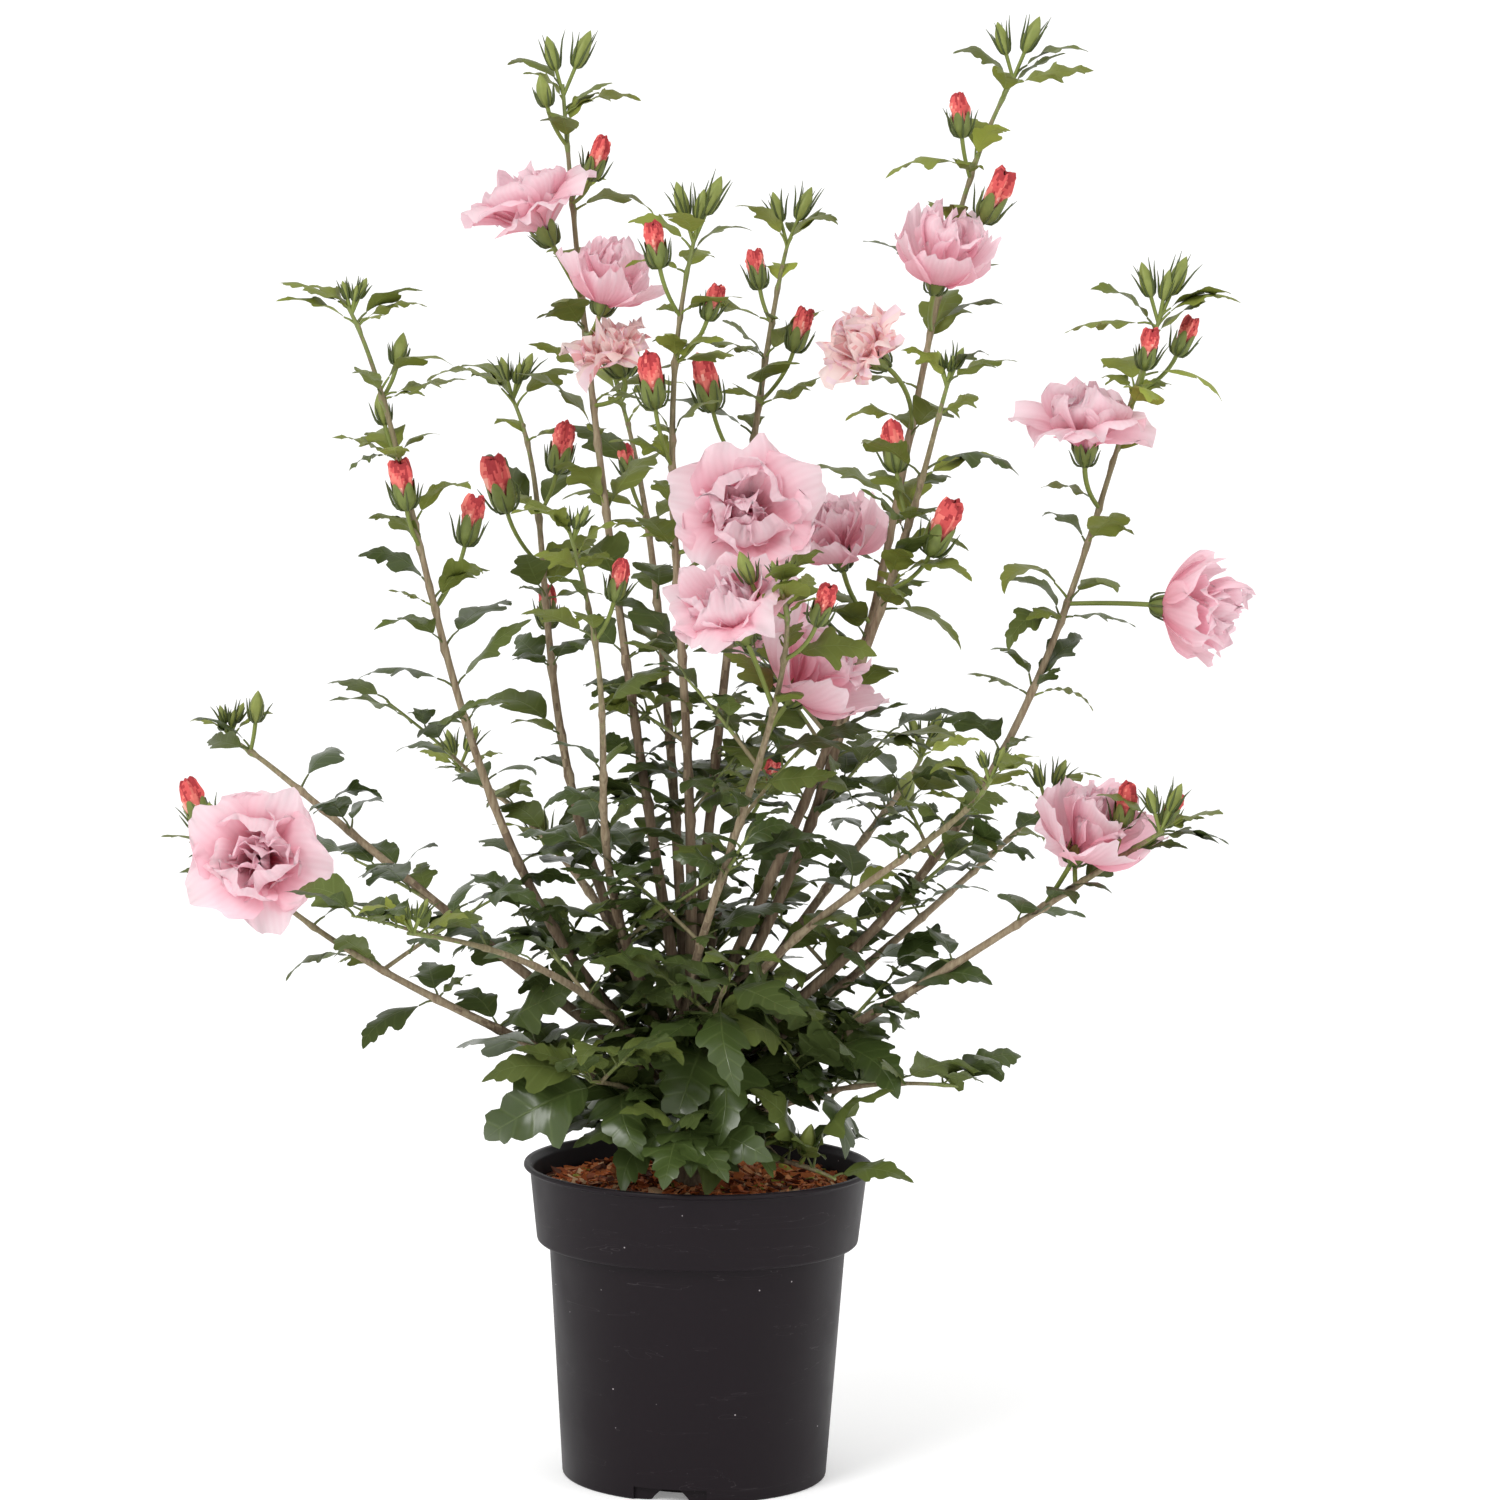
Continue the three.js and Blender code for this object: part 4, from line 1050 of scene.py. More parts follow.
# stem, share, heading, rise, roll, length, age
OLD_LEAVES = [
    ("low_shoot_front_left", 0.8, 190, -34, -30, 80, -0.1),
    ("low_shoot_front_left", 1.0, 182, 6, -20, 58, 0.0),
    ("low_shoot_front_left", 0.62, 266, -34, -8, 64, -0.1),
    ("low_shoot_front_left", 0.45, 285, -32, 14, 66, -0.05),
    ("low_shoot_front", 0.35, 214, -12, -20, 62, -0.05),
    ("low_shoot_front", 0.45, 262, -20, 10, 56, -0.1),
    ("low_shoot_front", 0.7, 282, -24, -6, 52, -0.1),
    ("low_shoot_front", 0.8, 196, -8, 12, 60, 0.0),
    ("low_shoot_front", 0.95, 264, -26, 0, 50, -0.1),
    ("low_shoot_front", 0.9, 300, -24, -10, 50, -0.05),
    ("low_shoot_front", 0.3, 300, -20, 8, 48, -0.1),
    ("low_shoot_front", 0.6, 325, -10, 20, 58, -0.05),
    ("inner_shoot_front", 0.4, 250, -38, -12, 78, -0.1),
    ("inner_shoot_front", 0.5, 290, -44, 10, 78, -0.1),
    ("inner_shoot_front", 0.62, 232, -24, 14, 66, -0.05),
    ("inner_shoot_front", 0.75, 270, -42, 0, 72, -0.1),
    ("inner_shoot_front", 0.3, 325, -26, -16, 70, -0.1),
    ("inner_shoot_front", 0.9, 312, -18, 12, 62, 0.0),
    ("low_shoot_rim", 0.42, 266, -2, 8, 54, 0.0),
    ("low_shoot_rim", 0.5, 200, 24, -20, 62, 0.12),
    ("low_shoot_rim", 0.66, 222, 50, -10, 52, 0.2),
    ("low_shoot_rim", 0.84, 330, 40, 10, 66, 0.1),
    ("low_shoot_rim", 0.98, 336, 0, 10, 48, 0.0),
    ("low_shoot_left", 0.4, 226, 0, -12, 60, 0.0),
    ("low_shoot_right", 0.3, 300, 10, 10, 66, -0.05),
    ("low_shoot_right", 0.42, 280, -18, -12, 68, -0.1),
    ("right_low", 0.19, 322, -20, 24, 66, -0.1),
]
for name, share, heading, rise, roll, length, age in OLD_LEAVES:
    root = stem_named[name].at(share)
    add_leaf(-1, root, heading, rise, roll, length * OLD_LEAF_GAIN, age, over_rim=True)

# Single leaves that stand out to the left or right of a wand.
# wand, share, rise to the left or None, rise to the right or None, length
OUTSTANDING_LEAVES = [
    ("left_top", 0.96, None, 10, 50),
    ("left_top", 0.84, None, -5, 60),
    ("left_top", 0.76, 20, None, 36),
    ("left_tall", 0.96, 15, None, 50),
    ("left_tall", 0.86, None, 15, 56),
    ("left_tall", 0.77, -20, 25, 32),
    ("left_tall", 0.65, 40, None, 36),
    ("left_tall", 0.6, None, 20, 48),
    ("left_tall", 0.5, 5, 40, 72),
    ("left_mid", 0.97, 8, None, 62),
    ("right_top", 0.86, -8, None, 58),
    ("right_top", 0.97, None, 8, 54),
    ("right_top", 0.62, 5, None, 45),
    ("right_front", 0.73, None, -5, 62),
    ("right_front", 0.5, None, 2, 60),
    ("right_front", 0.46, None, -28, 62),
    ("right_tall", 0.98, -5, 12, 56),
    ("right_tall", 0.92, None, -20, 56),
    ("right_tall", 0.76, 15, None, 40),
    ("right_tall", 0.645, 5, -16, 66),
    ("right_tall", 0.62, -26, -5, 50),
    ("right_tall", 0.52, 18, -16, 48),
    ("centre_right", 0.65, None, 22, 50),
    ("centre_top", 0.83, None, -5, 48),
    ("left_low", 0.96, -4, None, 44),
    ("left_low", 0.64, -16, None, 60),
    ("left_low", 0.46, -24, None, 62),
    ("right_low", 0.52, None, 8, 56),
    ("right_low", 0.97, None, -8, 46),
]
for wand, share, to_left, to_right, length in OUTSTANDING_LEAVES:
    root = stem_named[wand].at(share)
    for heading, rise in ((195, to_left), (-15, to_right)):
        if rise is not None:
            bearing = heading + bud_draws.uniform(-12, 12)
            add_leaf(-1, root, bearing, rise, bud_draws.uniform(-12, 12), length, age_at(root, share))
print(len(leaves), "leaves and", len(twigs), "twigs have room")

# %% [markdown]
# ## Leaf blades
#
# The leaf of this hibiscus is a rhombus with three lobes and coarse teeth. Its side veins run forward
# from the midrib to the teeth. We lay the rows of the sheet along those veins: each row starts at the
# midrib and ends at a point of the outline further on. So 20 rows of five points are enough for the
# whole toothed edge, and the creases follow the veins. Each blade then arches over, folds along its
# midrib, twists a little and gets a wavy edge. Last it rolls round its own axis to face the light, as
# living leaves do: up, and low on the plant also outward.

# %% The leaf's outline
# Shares of the blade's length: half-width and place of each point of the edge, for a deeply lobed leaf
# and for a plain one, and where the vein to that point leaves the midrib.
LOBED_EDGE = [
    (0.05, 0.02), (0.11, 0.06), (0.18, 0.12), (0.24, 0.19), (0.27, 0.26), (0.33, 0.31), (0.4, 0.4),
    (0.42, 0.47), (0.37, 0.51), (0.25, 0.49), (0.18, 0.52), (0.21, 0.59), (0.225, 0.655), (0.19, 0.69),
    (0.145, 0.71), (0.165, 0.77), (0.15, 0.825), (0.095, 0.845), (0.08, 0.89), (0.045, 0.955),
]
PLAIN_EDGE = [
    (0.05, 0.03), (0.1, 0.08), (0.16, 0.14), (0.2, 0.2), (0.225, 0.26), (0.275, 0.32), (0.31, 0.39),
    (0.305, 0.45), (0.265, 0.49), (0.22, 0.495), (0.205, 0.53), (0.235, 0.59), (0.23, 0.645), (0.185, 0.68),
    (0.16, 0.71), (0.165, 0.77), (0.14, 0.825), (0.09, 0.85), (0.065, 0.9), (0.035, 0.96),
]
VEIN_ROOTS = [
    0.012, 0.03, 0.06, 0.1, 0.14, 0.18, 0.22, 0.27, 0.32, 0.37,
    0.42, 0.47, 0.52, 0.57, 0.62, 0.67, 0.72, 0.78, 0.84, 0.92,
]
ACROSS = np.array([-1, -0.5, 0, 0.5, 1])
LEAF_ROWS = len(VEIN_ROOTS)
LEAF_WIDENING = 0.8
OLD_WIDENING = 1.22  # low on the plant the leaves are broader
BROAD_BELOW = 300


def leaf_faces():
    """The faces of a blade: point 0 is its foot, then come the rows, and the last point is its tip."""
    columns = len(ACROSS)
    tip = 1 + LEAF_ROWS * columns
    row, column = np.meshgrid(np.arange(LEAF_ROWS - 1), np.arange(columns - 1), indexing="ij")
    corner = (1 + row * columns + column).ravel()
    quads = np.stack([corner, corner + 1, corner + columns + 1, corner + columns], axis=-1)
    first = 1 + np.arange(columns - 1)
    last = tip - columns + np.arange(columns - 1)
    foot = np.stack([np.zeros_like(first), first + 1, first], axis=-1)
    point = np.stack([np.full_like(last, tip), last, last + 1], axis=-1)
    return [quads, foot, point]


LEAF_FACES = leaf_faces()


def leaf_template(lobing):
    """Half-width and place along the blade of each point of the sheet, foot and tip included."""
    edge = lobing * np.array(LOBED_EDGE) + (1 - lobing) * np.array(PLAIN_EDGE)
    side = ACROSS[None, :] * edge[:, :1]
    roots = np.array(VEIN_ROOTS)[:, None]
    along = roots + np.abs(ACROSS)[None, :] * (edge[:, 1:] - roots)
    side = np.concatenate([[0], side.ravel(), [0]])
    along = np.concatenate([[0], along.ravel(), [1]])
    return side, along


def leaf_places():
    """Where each point lies on the finish: across the blade, and by its vein along it."""
    across = np.concatenate([[0.5], np.tile((ACROSS + 1) / 2, LEAF_ROWS), [0.5]])
    vein = np.concatenate([[0], np.repeat((np.arange(LEAF_ROWS) + 1) / (LEAF_ROWS + 1), len(ACROSS)), [1]])
    return np.stack([across, vein], axis=-1)


LEAF_PLACES = leaf_places()
print("a blade has", sum(len(faces) for faces in LEAF_FACES), "faces")


# %% Shape one leaf
def turned(points, centre, axis, degrees):
    """The points turned round an axis through a centre."""
    x, y, z = axis
    skew = np.array([[0, -z, y], [z, 0, -x], [-y, x, 0]])
    angle = math.radians(degrees)
    matrix = np.eye(3) + math.sin(angle) * skew + (1 - math.cos(angle)) * skew @ skew
    return (points - centre) @ matrix.T + centre


TO_LIGHT = ([250, 450, 600], [0.55, 0.4, 0.15])  # height, how much the faces of leaves there turn outward


def roll_to_light(root, axis):
    """How far a blade rolls round its own axis to turn its face up and away from the trunk."""
    away = np.array([root[0], root[1], 0]) / max(math.hypot(root[0], root[1]), 20)
    wanted = UP + np.interp(root[2], *TO_LIGHT) * away
    level = UP - np.dot(UP, axis) * axis
    turned_out = wanted - np.dot(wanted, axis) * axis
    return math.degrees(math.atan2(np.dot(np.cross(level, turned_out), axis), np.dot(level, turned_out)))


BLADE_GAINS = ([270, 360, 520, 620], [1.18, 0.98, 1.0, 1.14])  # by height: small leaves fill the middle
PETIOLE_RINGS = 4
PETIOLE_SIDES = 4
PETIOLE_RADII = (0.95, 0.6)
LEAF_TINT_COUNT = 7
TINTS_BY_AGE = 4.3
FIRST_FRESH_TINT = 4  # leaves from this tint on have a fresh green stalk
DARK_STALK, FRESH_STALK, FLOWER_STALK = 0, 1, 2
TINT_SPREADS = ([290, 420], [0.38, 0.75])  # by height: low on the plant all leaves are old


def shape_leaf(leaf, blades, stalks, draws):
    """Adds a leaf's blade and stalk. along, side and lift are shares of the blade's length."""
    root, length = leaf["root"], leaf["length"]
    level_out = direction(leaf["heading"], 0)
    aside = np.cross(UP, level_out)
    bend = math.radians(draws.uniform(35, 95))
    pitch = math.radians(leaf["rise"]) + 0.44 * bend
    stalk_length = length * LEAF_STALK * draws.uniform(0.8, 1.3)
    stalk_end = root + (level_out * math.cos(pitch) + UP * math.sin(pitch)) * stalk_length
    size = length * (1 - LEAF_STALK) * np.interp(root[2], *BLADE_GAINS)
    broad = LEAF_WIDENING * (OLD_WIDENING if root[2] < BROAD_BELOW and leaf["age"] < 0.75 else 1)
    side, along = leaf_template(draws.uniform(0.3, 1.0))
    side = side * broad * np.where(side > 0, draws.uniform(0.85, 1.1), draws.uniform(0.85, 1.1))
    ripples, phase = draws.uniform(1.6, 3.0), draws.uniform(0, 6.3)
    wavy = draws.uniform(0.08, 0.26) * np.sin(2 * math.pi * ripples * along + phase + 1.4 * np.sign(side))
    lift = np.abs(side) * (draws.uniform(-0.05, 0.4) + wavy) - 0.5 * np.abs(side) ** 1.5
    twist = math.radians(draws.normal(0, 16)) * along
    side, lift = side * np.cos(twist) - lift * np.sin(twist), side * np.sin(twist) + lift * np.cos(twist)
    sway = math.radians(draws.normal(0, 14)) * along ** 2
    slope = pitch - bend * along
    forth = (math.sin(pitch) - np.sin(slope)) / bend - np.sin(slope) * lift
    rise = (np.cos(slope) - math.cos(pitch)) / bend + np.cos(slope) * lift
    forth, side = forth * np.cos(sway) - side * np.sin(sway), side * np.cos(sway) + forth * np.sin(sway)
    points = stalk_end + size * (forth[:, None] * level_out + rise[:, None] * UP + side[:, None] * aside)
    axis = direction(leaf["heading"], leaf["rise"])
    points = turned(points, root, axis, leaf["roll"] + roll_to_light(root, axis))
    tint = round(1 + leaf["age"] * TINTS_BY_AGE + draws.normal(0, np.interp(root[2], *TINT_SPREADS)))
    tint = 0 if leaf["age"] < 0 else int(np.clip(tint, 1, LEAF_TINT_COUNT - 1))
    blades.add(points, LEAF_FACES, tint, LEAF_PLACES)
    steep = root + direction(leaf["heading"], leaf["rise"] + 45) * stalk_length * 0.5
    path = bezier([root, steep, points[0]], np.linspace(0, 1, PETIOLE_RINGS))
    rings = tube(path, np.linspace(*PETIOLE_RADII, PETIOLE_RINGS), PETIOLE_SIDES)
    stalks.add_sheet(rings, DARK_STALK if tint < FIRST_FRESH_TINT else FRESH_STALK, closed=True)


# The blades go into two heaps, low and high, to keep each mesh a good size to work with.
low_blades, high_blades = Heap("leaves_low"), Heap("leaves_high")
stalks = Heap("leaf_and_flower_stalks")
leaf_draws = np.random.default_rng(5)
for leaf in leaves:
    heap = low_blades if leaf["root"][2] < DENSE_TOP else high_blades
    shape_leaf(leaf, heap, stalks, leaf_draws)
print("the blades have", low_blades.size + high_blades.size, "points")

# %% [markdown]
# ## The finish of a leaf
#
# A hibiscus leaf has a smooth, slightly waxy cuticle over dark green tissue. The veins show a little
# paler. The sheet's own map says how far across the blade and along its veins a point is, so the midrib
# and the veins are two simple patterns. The tints stay plain: the age of a leaf chooses one of seven
# greens. Only the oldest, darkest leaves have wax thick enough for a clear sheen.

# %% Leaf materials
LEAF_TINTS = ["#3b4922", "#434f28", "#545f2d", "#646d2f", "#707833", "#7c8439", "#8e9740"]
LEAF_ROUGHNESSES = [0.3, 0.4, 0.42, 0.46, 0.52, 0.56, 0.58]
LEAF_SPECULARS = [0.55, 0.2, 0.2, 0.2, 0.2, 0.2, 0.2]  # the oldest leaves have the thickest wax
MIDRIB_WIDTH = 0.03  # as a share of the blade's width
ROWS_PER_VEIN = 3
VEIN_SHARPNESS = 24.0
SIDE_VEIN_SHARE = 0.45  # of the midrib's strength
VEIN_GAIN = 0.1


def leaf_material(name, tint, roughness, specular):
    material, tree = new_material(name)
    across, along = growth_place(tree)
    off_rib = calculated(tree, "ABSOLUTE", calculated(tree, "SUBTRACT", across, 0.5))
    midrib = mapped(tree, off_rib, 0.0, MIDRIB_WIDTH, 1.0, 0.0)
    phase = calculated(tree, "MULTIPLY", along, (LEAF_ROWS + 1) / ROWS_PER_VEIN * math.pi)
    ridge = calculated(tree, "POWER", calculated(tree, "COSINE", phase), VEIN_SHARPNESS)
    pale = calculated(tree, "MAXIMUM", midrib, calculated(tree, "MULTIPLY", ridge, SIDE_VEIN_SHARE))
    gain = calculated(tree, "MULTIPLY", pale, VEIN_GAIN)
    return finished(material, tree, {
        "Base Color": mixed(tree, gain, linear(tint), linear("#a3b56c")),
        "Roughness": roughness,
        "IOR": 1.45,
        "Specular IOR Level": specular,
        "Normal": relief(tree, pale, 0.4, 0.0006),
    })


leaf_tints = [
    leaf_material(f"hibiscus leaf, tint {k + 1}", tint, roughness, specular)
    for k, (tint, roughness, specular) in enumerate(zip(LEAF_TINTS, LEAF_ROUGHNESSES, LEAF_SPECULARS))
]
settle(low_blades.mesh(), "leaves_low", leaf_tints, MASSES)
settle(high_blades.mesh(), "leaves_high", leaf_tints, MASSES)

# %% [markdown]
# ## Trunk, wands and twigs
#
# The wands are young wood: taupe bark with fine lengthwise ridges, a swelling at each leaf node, and
# green skin near the tip. A tube round the stem's curve with one radius for each point gives all of
# that. The trunk is the same form with deeper furrows and a flare at its foot.

# %% Bark relief
STEM_STEP = 5  # millimetres from ring to ring
STEM_SIDES = 9
NODE_SWELLING = 0.9
NODE_SPREAD = 3.2
NODE_KINK = 0.45
STEM_SLIMMING = 0.84
BARK_ENDS = [0.33, 0.68, 0.9]  # where one bark gives way to the next, as shares of a stem
RIDGE_DEPTH = 0.012
TRUNK_SIDES = 44
TRUNK_RINGS = 34
FURROW_DEPTH = 0.07


def add_stem(heap, stem, draws):
    """A wand or shoot with a swelling, and a slight kink, at each of its nodes."""
    count = int(stem.length / STEM_STEP)
    shares = np.linspace(0, 1, count)
    path = stem.at(shares)
    distance = np.concatenate([[0], np.cumsum(np.linalg.norm(np.diff(path, axis=0), axis=1))])
    radii = np.interp(shares, [0, 1], stem.radii) * np.interp(shares, [0, 0.3], [1, STEM_SLIMMING])
    for k, node in enumerate(sorted(stem.nodes)):
        near = np.exp(-(((distance - np.interp(node, shares, distance)) / NODE_SPREAD) ** 2))
        radii = radii + NODE_SWELLING * near * np.interp(node, [0, 1], [1.1, 0.6])
        path = path + direction(k * NODE_TURN, 0) * NODE_KINK * near[:, None]
    ridges = draws.standard_normal((count, STEM_SIDES))
    rings = tube(path, radii[:, None] * (1 + RIDGE_DEPTH * ridges), STEM_SIDES)
    age = shares[:-1, None] + draws.normal(0, 0.05, (count - 1, STEM_SIDES))
    heap.add_rod(rings, np.digitize(age, BARK_ENDS).ravel())


def add_trunk(heap, draws):
    """A tapering, furrowed limb with a flare at its foot."""
    shares = np.linspace(0, 1, TRUNK_RINGS)
    angles = np.arange(TRUNK_SIDES) * 2 * math.pi / TRUNK_SIDES
    height = shares * (TRUNK_FORK[2] - TRUNK_FOOT[2])
    radii = np.interp(shares, [0, 1], [TRUNK_FOOT_RADIUS, TRUNK_FORK_RADIUS])
    radii = radii + TRUNK_FLARE * np.exp(-height / TRUNK_FLARE_HEIGHT)
    level = height[:, None]
    furrows = np.sin(7 * angles + 1.2 * np.sin(level / 13)) + 0.6 * np.sin(17 * angles + level / 7)
    furrows = furrows * 0.6 + 0.4 * draws.standard_normal((TRUNK_RINGS, TRUNK_SIDES))
    axis = TRUNK_FOOT + shares[:, None] * (TRUNK_FORK - TRUNK_FOOT)
    out = np.stack([np.cos(angles), np.sin(angles), np.zeros(TRUNK_SIDES)], axis=-1)
    rings = axis[:, None] + out * (radii[:, None] * (1 + FURROW_DEPTH * furrows))[..., None]
    heap.add_rod(rings, 0)


bark = Heap("trunk_and_wands")
bark_draws = np.random.default_rng(3)
add_trunk(bark, bark_draws)
for stem in stems:
    add_stem(bark, stem, bark_draws)

TWIG_RADIUS = 1.5
TWIG_RINGS = 7
TWIG_SIDES = 6
TWIG_SKINS = [0, 0, 1, 1, 1, 1]  # cork at the foot and green skin further out
side_twigs = Heap("side_twigs")
for root, end in twigs:
    middle = (root + end) / 2 + UP * 0.04 * np.linalg.norm(end - root)
    path = bezier([root, middle, end], np.linspace(0, 1, TWIG_RINGS))
    radii = np.linspace(TWIG_RADIUS, TWIG_RADIUS * 0.5, TWIG_RINGS)
    side_twigs.add_rod(tube(path, radii, TWIG_SIDES), np.repeat(TWIG_SKINS, TWIG_SIDES))
print("the stems have", bark.size, "points")

# %% [markdown]
# ## Bark and green skin
#
# Young hibiscus bark is thin cork over green tissue: matt, taupe, with darker streaks along the stem a
# few millimetres long. Near the tip the cork is missing and the green skin is satin. One noise that is
# drawn out upward makes all the streaks, because the wands all stand more or less upright.

# %% Bark materials
BARK_STREAK = 2.2
STREAK_STRETCH = (1.0, 1.0, 0.12)
BARKS = [
    ("hibiscus bark, old wood", "#7f6f5a", "#5a4838", 0.85),
    ("hibiscus bark, second year", "#998b72", "#75634d", 0.8),
    ("hibiscus bark, this year", "#8c8263", "#6c6147", 0.7),
    ("green stem skin", "#7c8649", "#646d3a", 0.5),
]


def bark_material(name, light, dark, roughness):
    material, tree = new_material(name)
    stretch = {"Vector": object_place(tree), "Scale": STREAK_STRETCH}
    drawn_out = add_node(tree, "Mapping", stretch).outputs["Vector"]
    streaks = noise(tree, drawn_out, BARK_STREAK, 4.0)
    colour = mixed(tree, mapped(tree, streaks, 0.3, 0.7), linear(dark), linear(light))
    bumps = relief(tree, streaks, 0.5, 0.0004)
    skin = {"Base Color": colour, "Roughness": roughness, "IOR": 1.4, "Normal": bumps}
    return finished(material, tree, skin)


barks = [bark_material(*row) for row in BARKS]
settle(bark.mesh(), "trunk_and_wands", barks, LIMBS + MASSES)
settle(side_twigs.mesh(), "side_twigs", barks[2:], MASSES)

# %% [markdown]
# ## Petals
#
# The flower is double: five broad outer petals overlap like tiles round a bowl, five shorter ones stand
# inside them, a tuft of seven smaller ones fills it, and five pale ones close over its heart. Every
# petal is one sheet. A curve carries it from the calyx up and out, a width makes it a fan, and waves
# that grow towards the edge ruffle it. The outer and middle petals are tilted, so that one edge of each
# lies under its neighbour.

# %% One petal
# The share along a petal, and how wide it is there as a share of its full width.
PETAL_WIDTHS = ([0, 0.15, 0.36, 0.62, 0.86, 1], [0.12, 0.3, 0.6, 0.92, 1, 0.84])
PETAL_FOOT_RADIUS = 2.2
PETAL_FOOT_HEIGHT = 9
PETAL_WRAP = 0.5
ROUND_EDGE = 0.28
ZONES = [0.15, 0.29, 0.47, 0.74]  # where throat, deep, middle, pale and edge meet
STREAK = 0.045  # how far a streak of deeper colour runs up a petal, as a share of its length


class Flower:
    """The frame of one bloom: its foot, the way it faces and two directions across."""

    def __init__(self, base, facing):
        self.base = base
        self.facing = facing
        self.first, self.second = square_to(facing)

    def out(self, degrees):
        angle = math.radians(degrees)
        return math.cos(angle) * self.first + math.sin(angle) * self.second


def waves(across, counts, draws):
    """A sum of sine waves across a petal, all with random phases, between about -1 and 1."""
    total = sum(
        np.sin(count * math.pi * across + draws.uniform(0, 6.3)) / (k + 1) for k, count in enumerate(counts)
    )
    return total / sum(1 / (k + 1) for k in range(len(counts)))


def petal(flower, turn_angle, line, width, ruffle, tatter, tuck, size, draws):
    """The points of one petal. line holds (radius, height) handles of its middle line."""
    share, across = np.meshgrid(np.linspace(0, 1, size[0]), np.linspace(-1, 1, size[1]), indexing="ij")
    edge = 1 - ROUND_EDGE * np.abs(across) ** 2.4 + tatter * waves(across, (2.2, 4.6, 9.3, 13), draws)
    along = share * edge
    radius, height = np.moveaxis(bezier([(PETAL_FOOT_RADIUS, PETAL_FOOT_HEIGHT), *line], along), -1, 0)
    reach = max(point[0] for point in line)
    half = across * width * np.interp(share, *PETAL_WIDTHS)
    angle = PETAL_WRAP * half / np.maximum(radius, 0.34 * reach + 3)
    outward = radius * np.cos(angle)
    sideways = radius * np.sin(angle) + (1 - PETAL_WRAP) * half
    broad = waves(across, (draws.uniform(0.8, 1.6), draws.uniform(2.0, 3.0)), draws)
    fine = waves(across + 0.25 * along, (draws.uniform(3.4, 4.6), draws.uniform(5.4, 7)), draws)
    height = height + ruffle * (along ** 1.6 * broad + 0.55 * along ** 3 * fine) + tuck * across * along
    outward = outward + ruffle * 0.8 * along ** 2.2 * waves(across, (1.4, 3.1), draws)
    height = height + 0.035 * width * waves(across, (6.5, 8.2), draws) * along
    out = flower.out(turn_angle)
    beside = np.cross(flower.facing, out)
    points = flower.base + outward[..., None] * out + sideways[..., None] * beside
    streaks = STREAK * waves(across[0], (3.3, 6.1, 9.7), draws) + draws.normal(0, 0.03)
    return points + height[..., None] * flower.facing, along + streaks * (1 - along), across


print("zones of pink end at", ZONES, "of a petal's length")

# %% Put the blooms together
CUP_DEPTH = 0.55  # a bloom deeper than this share of its width is a cup
OUTER_PETALS = 5
MIDDLE_PETALS = 5
TUFT_PETALS = 7
HEART_PETALS = 5  # pale ones that close over the throat
EDGE, FADED_PALE, FADED_RUST = 4, 5, 6  # the palest zone, and two tints that only a faded bloom has
ANTHER_COUNT = 8
ANTHER_SIZE = 0.8
ANTHER_CORNERS = np.concatenate([np.eye(3), -np.eye(3)])
ANTHER_FACES = [[0, 1, 2], [1, 3, 2], [3, 4, 2], [4, 0, 2], [1, 0, 5], [3, 1, 5], [4, 3, 5], [0, 4, 5]]
OUTER_GRID = (15, 19)
MIDDLE_GRID = (11, 13)
TUFT_GRID = (9, 10)


def bloom_line(width, depth, lean):
    """The middle line of an outer petal: a bowl that flares, or a cup whose rim turns out."""
    rim = width / 2
    height = width * depth
    if depth < CUP_DEPTH:
        return [(0.2 * rim, 0.78 * height), (0.62 * rim, 1.08 * height + lean), (rim, 0.86 * height + lean)]
    return [(0.5 * rim, 0.26 * height), (0.82 * rim + lean, 0.66 * height), (1.06 * rim + lean, height)]


def add_petal(petals, flower, turn_angle, line, width, ruffle, size, faded, draws, shift=0.0, tuck=0.0):
    """Adds a petal. shift makes it paler, and tuck tilts it across."""
    tatter = 0.075 if faded else 0.028
    points, tone, across = petal(flower, turn_angle, line, width, ruffle, tatter, tuck, size, draws)
    # shift pales a petal. On the inner petals this is partly their own colour and partly painted light that
    # makes up for the shade between the petals.
    tone = np.clip(tone + shift, 0, 1)
    middle = (tone[:-1, :-1] + tone[1:, 1:]) / 2
    skins = np.digitize(middle, ZONES)
    if faded:
        dry = waves(across[:-1, :-1], (5, 8), draws) + draws.normal(0, 0.25, skins.shape)
        skins = np.where((dry < -0.62) | (middle < 0.2), FADED_RUST, np.where(dry < 0.5, FADED_PALE, EDGE))
    petals.add_sheet(points, skins.ravel(), places=np.stack([(across + 1) / 2, tone], axis=-1))


